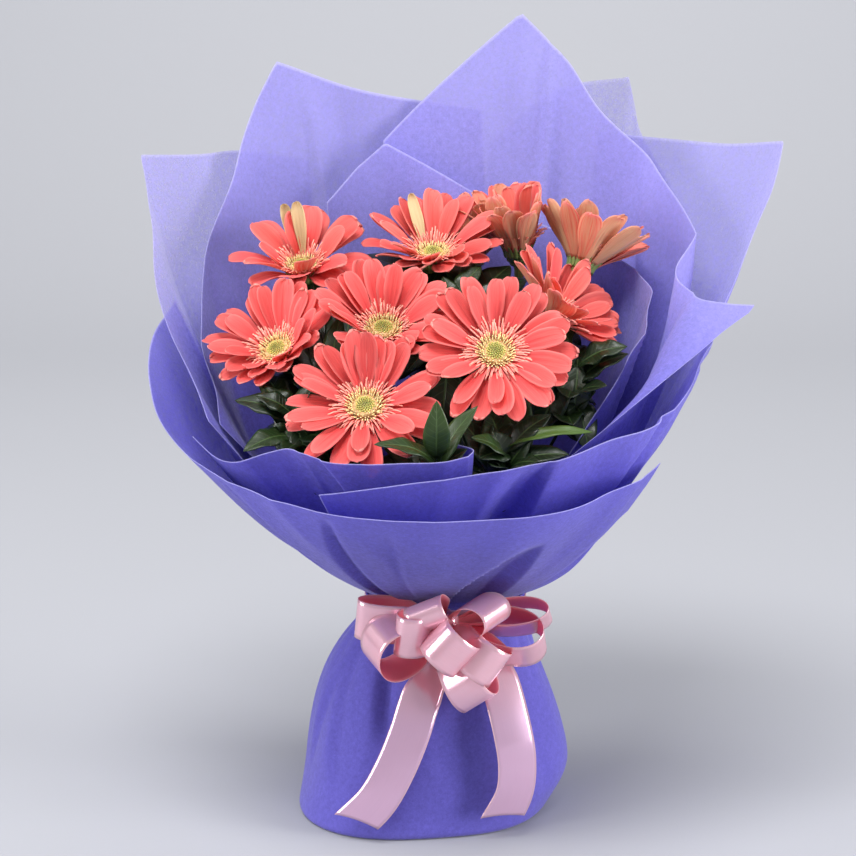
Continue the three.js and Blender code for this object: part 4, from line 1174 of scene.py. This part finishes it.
class BOUQUET_OT_wrap(bpy.types.Operator):
    """Adds the sheets of non-woven wrap that fan out from the neck"""

    bl_idname = "bouquet.wrap"
    bl_label = "Wrap Sheets"

    def execute(self, context):
        sizes = context.scene.bouquet_sizes
        colours = context.scene.bouquet_colours
        felt = wrap_material("nonwoven_wrap", colours, 0.84, 0.3, 0.98)
        for name, (layer, pleats, ribs) in WRAP_SHEETS.items():
            spans = len(ribs) - 1
            columns, rows = 16 * spans, 48
            edge = 0.32 / columns

            def place(u, v):
                row = round(v * rows)
                t = -1 if row == 0 else narrow_ends((row - 1) / (rows - 1), rows - 1, 0.005)
                return wrap_point(layer, pleats, ribs, narrow_ends(u, columns, edge) * spans, t)

            bm = start_mesh("cut", "sheer")
            verts = add_patch(bm, columns, rows, place, sheer=SHEER.get(name, 0))
            cut = bm.verts.layers.float["cut"]
            for i, vert in enumerate(verts):
                row, column = divmod(i, columns + 1)
                # the cut edges are marked for the painted highlight along them in the material
                vert[cut] = 0.5 if row == rows or column in (0, columns) else 0
                out = Vector((vert.co.x - AXIS_X, vert.co.y, 0)).normalized()
                shift = Vector((layer * 9, 0, 0))
                own = 1.2 * noise.noise(vert.co / 60 + shift)
                own += 0.5 * noise.noise(vert.co / 22 + shift)
                vert.co += out * (crinkle(name, vert.co) + own * ease((vert.co.z - WRAP_BEND) / 40))
            piece = finish_piece(
                bm, f"sheet_{name[5:]}", [felt], [name], sizes.wrap_wall / MM, 0
            )
        return {"FINISHED"}


# Folds in the bag: turn from the right and height at either end, width in degrees and depth.
BAG_FOLDS = [
    (242, 54, 228, 124, 16, 8), (222, 20, 206, 124, 16, 3), (196, 30, 206, 104, 12, 3.5),
    (300, 66, 286, 124, 14, 3), (330, 20, 320, 124, 18, 3), (60, 20, 70, 124, 20, 4),
    (110, 30, 104, 124, 16, 4), (150, 20, 140, 124, 16, 4),
]
FLOOR_SHARE = 0.16  # the share of v that runs over the bag's bottom

# The outline of the bag's foot: its mean radius, its shift towards x and y, how far it is drawn
# out along x and along the diagonal, and how far its four corners stand out.
FOOT_RADIUS = 78.5
FOOT_SHIFT = (-4.5, -2.4)
FOOT_DRAWN = (5.5, 3.25)
FOOT_CORNERS = 2.5
# The bag's right side: where it bulges most, how far up the bulge fades, how far it stands out,
# and how far it is tucked in at the floor.
SIDE_HEIGHT, SIDE_FADE, SIDE_BULGE, SIDE_TUCK = 32, 72, 6.5, 4


def foot_radius(turn):
    shift = FOOT_SHIFT[0] * math.cos(turn) + FOOT_SHIFT[1] * math.sin(turn)
    drawn = FOOT_DRAWN[0] * math.cos(2 * turn) + FOOT_DRAWN[1] * math.sin(2 * turn)
    return FOOT_RADIUS + shift + drawn + FOOT_CORNERS * math.cos(4 * (turn - math.pi / 4))


def bag_place(u, v):
    """A point of the bag: v runs from the middle of its bottom, out and up to its neck."""
    angle = 2 * math.pi * u
    height = 0 if v < FLOOR_SHARE else NECK_TOP * ((v - FLOOR_SHARE) / (1 - FLOOR_SHARE)) ** 1.25
    rise = min(height / NECK_LOW, 1)
    grow = 1 - rise ** lerp(LEFT_POWER, RIGHT_POWER, 0.5 + 0.5 * math.cos(angle))
    low = max(0, BASE_ROUND - height) / BASE_ROUND
    inset = BASE_ROUND * (1 - math.sqrt(max(0, 1 - low * low)))
    turn = math.radians(BASE_TURN * (1 - rise))
    # the bag is four flat panels with round corners, and round at its neck
    power = lerp(2.4, 2, ease(rise))
    box = (abs(math.cos(angle)) ** power + abs(math.sin(angle)) ** power) ** (-1 / power)
    a = lerp(NECK_A, BASE_A, grow) * box * math.cos(angle)
    b = lerp(NECK_B, BASE_B, grow) * box * math.sin(angle)
    x, y = a * math.cos(turn) - b * math.sin(turn), a * math.sin(turn) + b * math.cos(turn)
    world = math.atan2(y, x)
    side = 0.5 + 0.5 * math.cos(world)
    foot = max(0, 1 - height / (FLARE + 14 * side)) ** (1.5 - 0.3 * side)
    radius = lerp(math.hypot(x, y), foot_radius(world), foot) - inset
    radius += 1.5 * (abs(math.sin(11 * angle)) - 0.6) * rise**4
    spread = Vector((math.cos(angle) * 1.6, math.sin(angle) * 1.6, height / 100))
    radius += 2.4 * (0.3 - abs(noise.noise(spread))) * math.sin(math.pi * min(rise, 1)) ** 0.7
    # the right side bulges over its foot and rounds in to the floor
    past = (height - SIDE_HEIGHT) / (SIDE_FADE if height > SIDE_HEIGHT else SIDE_HEIGHT)
    radius += SIDE_BULGE * side**5 * max(0, 1 - past**2) ** 2
    radius -= SIDE_TUCK * side**5 * max(0, 1 - height / SIDE_HEIGHT) ** 2
    for low_turn, low_end, high_turn, high_end, width, depth in BAG_FOLDS:
        share = (height - low_end) / (high_end - low_end)
        if 0 < share < 1:
            away = math.degrees(world) - lerp(low_turn, high_turn, share)
            away = ((away + 180) % 360 - 180) / width
            # a fold drops sharply on one side and eases back on the other
            fall = max(0, 1 - away) if away > 0 else max(0, 1 + 3 * away)
            radius -= depth * fall * math.sin(math.pi * share) ** 0.7
    radius *= min(v / FLOOR_SHARE, 1)
    return Vector((AXIS_X * rise + radius * math.cos(world), radius * math.sin(world), height))


class BOUQUET_OT_bag(bpy.types.Operator):
    """Adds the closed bag of wrap round the stem ends, on which the bouquet stands"""

    bl_idname = "bouquet.bag"
    bl_label = "Bag"

    def execute(self, context):
        sizes = context.scene.bouquet_sizes
        colours = context.scene.bouquet_colours
        # the bag's cloth is painted darker than the sheets (level 0.77): painted shade where the bow and
        # the collars shade it
        felt = wrap_material("nonwoven_bag_painted_shade", colours, 0.97, 0.08, 0.77)
        bm = start_mesh("cut", "sheer")
        add_patch(bm, 200, 90, bag_place)
        weld(bm)
        piece = finish_piece(
            bm, "bag", [felt], ["wrap_bag"], sizes.wrap_wall / MM, -1
        )
        return {"FINISHED"}


# ---- the ribbon ----------------------------------------------------------------------------------

KNOT = Vector((AXIS_X, -49, 133))
KNOT_RADIUS = 9
KNOT_DEPTH = -KNOT.y - NECK_B - 0.8 - 2 * GAP

# Loops of the bow: the middle of the outer bend, the direction of the ribbon's width there, and
# half of the loop's opening.
BOW_LOOPS = [
    ((-47, -53, 138), (-0.1, -0.1, 1), 8), ((-38, -70, 118), (0.45, -0.8, -0.3), 17),
    ((-20, -80, 134), (0.05, -0.1, 1), 9), ((-6, -80, 150), (0.95, 0, 0.3), 8),
    ((12, -93, 126), (0.64, 0.1, 0.77), 13), ((38, -81, 150), (0.92, 0.1, 0.4), 9),
    ((38, -86, 115), (0.61, 0, 0.79), 12), ((68, -66, 126), (-0.3, -0.6, 0.7), 13),
    ((72, -54, 141), (0.2, -0.7, 0.5), 8), ((28, -80, 92), (0.8, -0.45, 0.3), 11),
]

TAIL_SLANT = 0.09  # the share of a tail's length over which its end is cut off

# The points that each tail runs through, from the knot to its cut end.
TAILS = {
    "ribbon_tail_left": [
        (4, -44, 120), (1, -54, 106), (-8, -66, 88), (-15, -74, 68), (-24, -78, 47), (-35, -80, 28),
        (-52, -79, 10),
    ],
    "ribbon_tail_right": [
        (14, -44.5, 121), (33, -52, 112), (42, -61, 96), (49, -71.5, 71), (52, -74, 50),
        (50, -75, 31), (40, -75.5, 11),
    ],
}


def bow_loop_place(tip, width, opening, ribbon):
    """The place function of one loop of the bow, from the knot, round its bend and back."""
    reach = Vector(tip) - KNOT
    length = reach.length
    ahead = reach.normalized()
    across = Vector(width)
    across = (across - ahead * across.dot(ahead)).normalized()
    aside = ahead.cross(across)

    def place(u, v):
        out = lerp(5, length, math.sin(math.pi * v) ** 2)
        swing = opening * 1.3 * math.sin(2 * math.pi * v) * math.sin(math.pi * v)
        start = 1.4 * math.cos(math.pi * v)
        spread = ease(math.sin(math.pi * v) ** 2 / 0.45)
        half = ribbon / 2 * lerp(0.28, 1, spread)
        side = 2 * u - 1
        pleat = 1.6 * (1 - spread) * math.cos(2.5 * math.pi * side)
        return KNOT + ahead * out + aside * (swing + start + pleat) + across * (side * half)

    return place


def tail_place(route, ribbon):
    """The place function of a hanging tail, cut off at a slant with a slight hollow."""
    places = [Vector(point) for point in route]

    def place(u, v):
        side = 2 * u - 1
        back = TAIL_SLANT * (0.5 - 0.5 * side)
        back += 0.12 * TAIL_SLANT * (1 - side * side)
        v *= 1 - back * ease((v - 0.5) / 0.5)
        here = path_point(places, v)
        travel = path_point(places, min(v + 0.03, 1)) - path_point(places, max(v - 0.03, 0))
        outward = Vector((here.x * 0.5, here.y, 0)).normalized()
        half = travel.cross(outward).normalized() * (ribbon / 2 * min(1, 0.45 + v * 1.8))
        curl = outward * (0.9 * side * side * math.sin(math.pi * v))
        return here + half * side - curl

    return place


class BOUQUET_OT_ribbon(bpy.types.Operator):
    """Adds the ribbon: a band round the neck, the looped bow with its knot, and two tails"""

    bl_idname = "bouquet.ribbon"
    bl_label = "Ribbon Bow"

    def execute(self, context):
        sizes = context.scene.bouquet_sizes
        satin = satin_material(context.scene.bouquet_colours, False)
        satin_back_painted_glow = satin_material(context.scene.bouquet_colours, True)
        ribbon = sizes.ribbon_width / MM
        wall = sizes.ribbon_wall / MM

        def band_place(u, v):
            angle = -2 * math.pi * v
            crease = 0.35 * math.sin(9 * math.pi * u + 3 * math.sin(4 * angle))
            out = GAP + 0.6 + crease * 0.6
            height = lerp(BAND_LOW, BAND_HIGH, u)
            x = AXIS_X + (NECK_A + out) * math.cos(angle)
            return Vector((x, (NECK_B + out) * math.sin(angle), height))

        bm = start_mesh()
        add_patch(bm, 14, 160, band_place)
        weld(bm)
        band = finish_piece(bm, "band", [satin], ["ribbon_band"], wall, 0)

        bm = start_mesh()
        for tip, width, opening in BOW_LOOPS:
            add_patch(bm, 8, 44, bow_loop_place(tip, width, opening, ribbon))
        faces = [satin_back_painted_glow, satin]
        bow = finish_piece(bm, "bow_loops", faces, ["ribbon_bow"], wall, 0)

        def knot_place(u, v):
            turn, tilt = 2 * math.pi * u, math.pi * (v - 0.5)
            swell = 1 + 0.05 * math.sin(7 * turn) * math.cos(tilt)
            ring = math.cos(tilt) * swell
            across, up = KNOT_RADIUS * ring * math.cos(turn), -KNOT_RADIUS * ring * math.sin(turn)
            return KNOT + Vector((across, KNOT_DEPTH * math.sin(tilt), up))

        bm = start_mesh()
        add_patch(bm, 56, 24, knot_place)
        weld(bm)
        finish_piece(bm, "knot", [satin], [])

        for name, route in TAILS.items():
            bm = start_mesh()
            add_patch(bm, 10, 60, tail_place(route, ribbon))
            tail = finish_piece(bm, name[7:], [satin], [name], wall, 0)
        return {"FINISHED"}


TWINE_TURNS = 5
TWINE_RADIUS = 0.78


class BOUQUET_OT_tie(bpy.types.Operator):
    """Adds the twine wound round the stems inside the neck"""

    bl_idname = "bouquet.tie"
    bl_label = "Twine"

    def execute(self, context):
        twine = twine_material()
        bm = start_mesh()
        for k in range(TWINE_TURNS):
            height = TIE_HEIGHT + TIE_REACH * (2 * (k + 0.5) / TWINE_TURNS - 1)

            def ring_place(u, v, height=height):
                turn, round_turn = 2 * math.pi * v, 2 * math.pi * u
                radius = TIE_RADIUS + 0.8 + TWINE_RADIUS * math.cos(round_turn)
                level = height + TWINE_RADIUS * math.sin(round_turn)
                return around(math.degrees(turn), radius, level)

            add_patch(bm, 8, 64, ring_place)
        weld(bm)
        finish_piece(bm, "twine", [twine], ["stem_tie"])
        return {"FINISHED"}


# ---- the stage -----------------------------------------------------------------------------------

CAMERA_ELEVATION = 13  # degrees above the horizon
CAMERA_DISTANCE = 1.5
CAMERA_TARGET = Vector((-0.003, 0, 0.245))
FOCAL_PIXELS = 2400  # the lens in pixels of a frame 856 pixels wide
FRAME_PIXELS = 856
SENSOR = 36  # its width in millimetres

# The paper sweep, in metres: half its width, where its floor begins in front, how long the floor
# is, the radius of its bend, and its whole length.
SWEEP_HALF, SWEEP_NEAR, SWEEP_FLAT, SWEEP_RADIUS, SWEEP_RUN = 9, -4, 5.5, 1.4, 12

# Softboxes: place, aim, width and height in metres, and power in watts.
SOFTBOXES = [
    ((-0.3, -0.8, 2.3), (0, 0, 0.3), (1.3, 0.9), 52),
    ((-1.9, -0.6, 0.7), (0, 0, 0.3), (1.0, 1.2), 32),
    ((1.9, -0.8, 0.6), (0, 0, 0.3), (1.0, 1.2), 46),
    ((0.2, 0.8, 2.3), (0, 4, 0.6), (2.5, 0.6), 46),
]


class BOUQUET_OT_stage(bpy.types.Operator):
    """Adds the camera, the pale floor that rises into a backdrop, and the soft lights"""

    bl_idname = "bouquet.stage"
    bl_label = "Stage"

    def execute(self, context):
        scene = context.scene
        tilt = math.radians(CAMERA_ELEVATION)
        camera = bpy.data.objects.new("camera", bpy.data.cameras.new("camera"))
        camera.data.sensor_width = SENSOR
        camera.data.lens = FOCAL_PIXELS / FRAME_PIXELS * SENSOR
        camera.data.clip_end = 50
        away = Vector((0, -math.cos(tilt), math.sin(tilt)))
        camera.location = CAMERA_TARGET + away * CAMERA_DISTANCE
        camera.rotation_euler = (math.pi / 2 - tilt, 0, 0)
        scene.collection.objects.link(camera)
        scene.camera = camera

        paper = paper_material(list(scene.bouquet_colours.backdrop))

        def sweep(u, v):
            across, run = SWEEP_HALF * (u - 0.5) * 2, v * SWEEP_RUN
            if run < SWEEP_FLAT:
                return Vector((across, run + SWEEP_NEAR, 0)) / MM
            turn = min((run - SWEEP_FLAT) / SWEEP_RADIUS, math.pi / 2)
            beyond = max(0, run - SWEEP_FLAT - SWEEP_RADIUS * math.pi / 2)
            back = SWEEP_FLAT + SWEEP_NEAR + SWEEP_RADIUS * math.sin(turn)
            return Vector((across, back, SWEEP_RADIUS * (1 - math.cos(turn)) + beyond)) / MM

        bm = start_mesh()
        add_patch(bm, 4, 96, sweep)
        backdrop = make_object(bm, "backdrop", [paper])

        for i, (place, target, (width, height), power) in enumerate(SOFTBOXES):
            lamp = bpy.data.lights.new(f"softbox_{i + 1}", "AREA")
            lamp.shape = "RECTANGLE"
            lamp.size, lamp.size_y = width, height
            lamp.energy = power
            holder = bpy.data.objects.new(f"softbox_{i + 1}", lamp)
            holder.location = place
            aim = Vector(target) - Vector(place)
            holder.rotation_euler = aim.to_track_quat("-Z", "Y").to_euler()
            scene.collection.objects.link(holder)

        world = bpy.data.worlds.new("studio")
        world.use_nodes = True
        background = world.node_tree.nodes["Background"]
        background.inputs["Color"].default_value = linear("#E6E7EA")
        background.inputs["Strength"].default_value = 0.55
        scene.world = world
        scene.view_settings.view_transform = "Standard"
        return {"FINISHED"}


# ---- the add-on ----------------------------------------------------------------------------------


def colour_property(name, description, hex_colour):
    return bpy.props.FloatVectorProperty(
        name=name,
        description=description,
        default=linear(hex_colour),
        subtype="COLOR",
        size=4,
        min=0,
        max=1,
    )


def length_property(name, description, millimetres):
    return bpy.props.FloatProperty(
        name=name,
        description=description,
        default=millimetres * MM,
        min=0,
        unit="LENGTH",
        subtype="DISTANCE",
        precision=4,
    )


class BouquetSizes(bpy.types.PropertyGroup):
    petal_length: length_property("Petal Length", "Ray petal from the core to its tip", 39)
    petal_width: length_property("Petal Width", "Ray petal at its widest", 13.2)
    petal_wall: length_property("Petal Thickness", "Thickness of a ray petal", 0.45)
    wrap_wall: length_property("Wrap Thickness", "Thickness of the non-woven wrap", 0.4)
    ribbon_width: length_property("Ribbon Width", "Width of the satin ribbon", 25)
    ribbon_wall: length_property("Ribbon Thickness", "Thickness of the satin ribbon", 0.4)


class BouquetColours(bpy.types.PropertyGroup):
    petal: colour_property("Petal", "Upper face of a ray petal", "#FF6662")
    petal_deep: colour_property("Petal Grooves", "Grooves and roots of the ray petals", "#EE4046")
    petal_edge: colour_property("Petal Edge", "Edges and tips of the ray petals", "#FFADA6")
    cream: colour_property("Disc Florets", "Open florets of the disc", "#F6E2A4")
    olive: colour_property("Button", "Closed buds in the middle of the disc", "#CFC672")
    leaf: colour_property("Leaf", "Lighter green of the leaves", "#152A10")
    leaf_dark: colour_property("Leaf Shade", "Darker green of the leaves", "#050D06")
    wrap: colour_property("Wrap", "Violet non-woven wrap of the front sheets and the bag", "#6F67D2")
    # the paler violet painted onto the upper sheets as backlight
    wrap_backlit: colour_property("Rear Wrap", "Paler wrap of the rear sheets", "#A6A0E6")
    ribbon: colour_property("Ribbon", "Satin ribbon", "#F9CDDC")
    backdrop: colour_property("Backdrop", "Floor and backdrop", "#A9AAAF")


class BOUQUET_PT_panel(bpy.types.Panel):
    """The sidebar panel that lists the sizes, the colours and the operators"""

    bl_idname = "BOUQUET_PT_panel"
    bl_label = "Gerbera Bouquet"
    bl_space_type = "VIEW_3D"
    bl_region_type = "UI"
    bl_category = "Bouquet"

    def draw(self, context):
        for group in (context.scene.bouquet_sizes, context.scene.bouquet_colours):
            column = self.layout.column(align=True)
            for key in group.bl_rna.properties.keys():
                if key not in {"rna_type", "name"}:
                    column.prop(group, key)
        for operator in OPERATORS:
            self.layout.operator(operator.bl_idname)


OPERATORS = (
    BOUQUET_OT_stage,
    BOUQUET_OT_petals,
    BOUQUET_OT_discs,
    BOUQUET_OT_stems,
    BOUQUET_OT_foliage,
    BOUQUET_OT_wrap,
    BOUQUET_OT_bag,
    BOUQUET_OT_ribbon,
    BOUQUET_OT_tie,
)
CLASSES = (BouquetSizes, BouquetColours, *OPERATORS, BOUQUET_PT_panel)


def register():
    for cls in CLASSES:
        bpy.utils.register_class(cls)
    bpy.types.Scene.bouquet_sizes = bpy.props.PointerProperty(type=BouquetSizes)
    bpy.types.Scene.bouquet_colours = bpy.props.PointerProperty(type=BouquetColours)


def unregister():
    del bpy.types.Scene.bouquet_colours
    del bpy.types.Scene.bouquet_sizes
    for cls in reversed(CLASSES):
        bpy.utils.unregister_class(cls)


def main():
    register()
    bpy.ops.bouquet.stage()
    bpy.ops.bouquet.petals()
    bpy.ops.bouquet.discs()
    bpy.ops.bouquet.stems()
    bpy.ops.bouquet.foliage()
    bpy.ops.bouquet.wrap()
    bpy.ops.bouquet.bag()
    bpy.ops.bouquet.ribbon()
    bpy.ops.bouquet.tie()


if __name__ == "__main__":
    main()
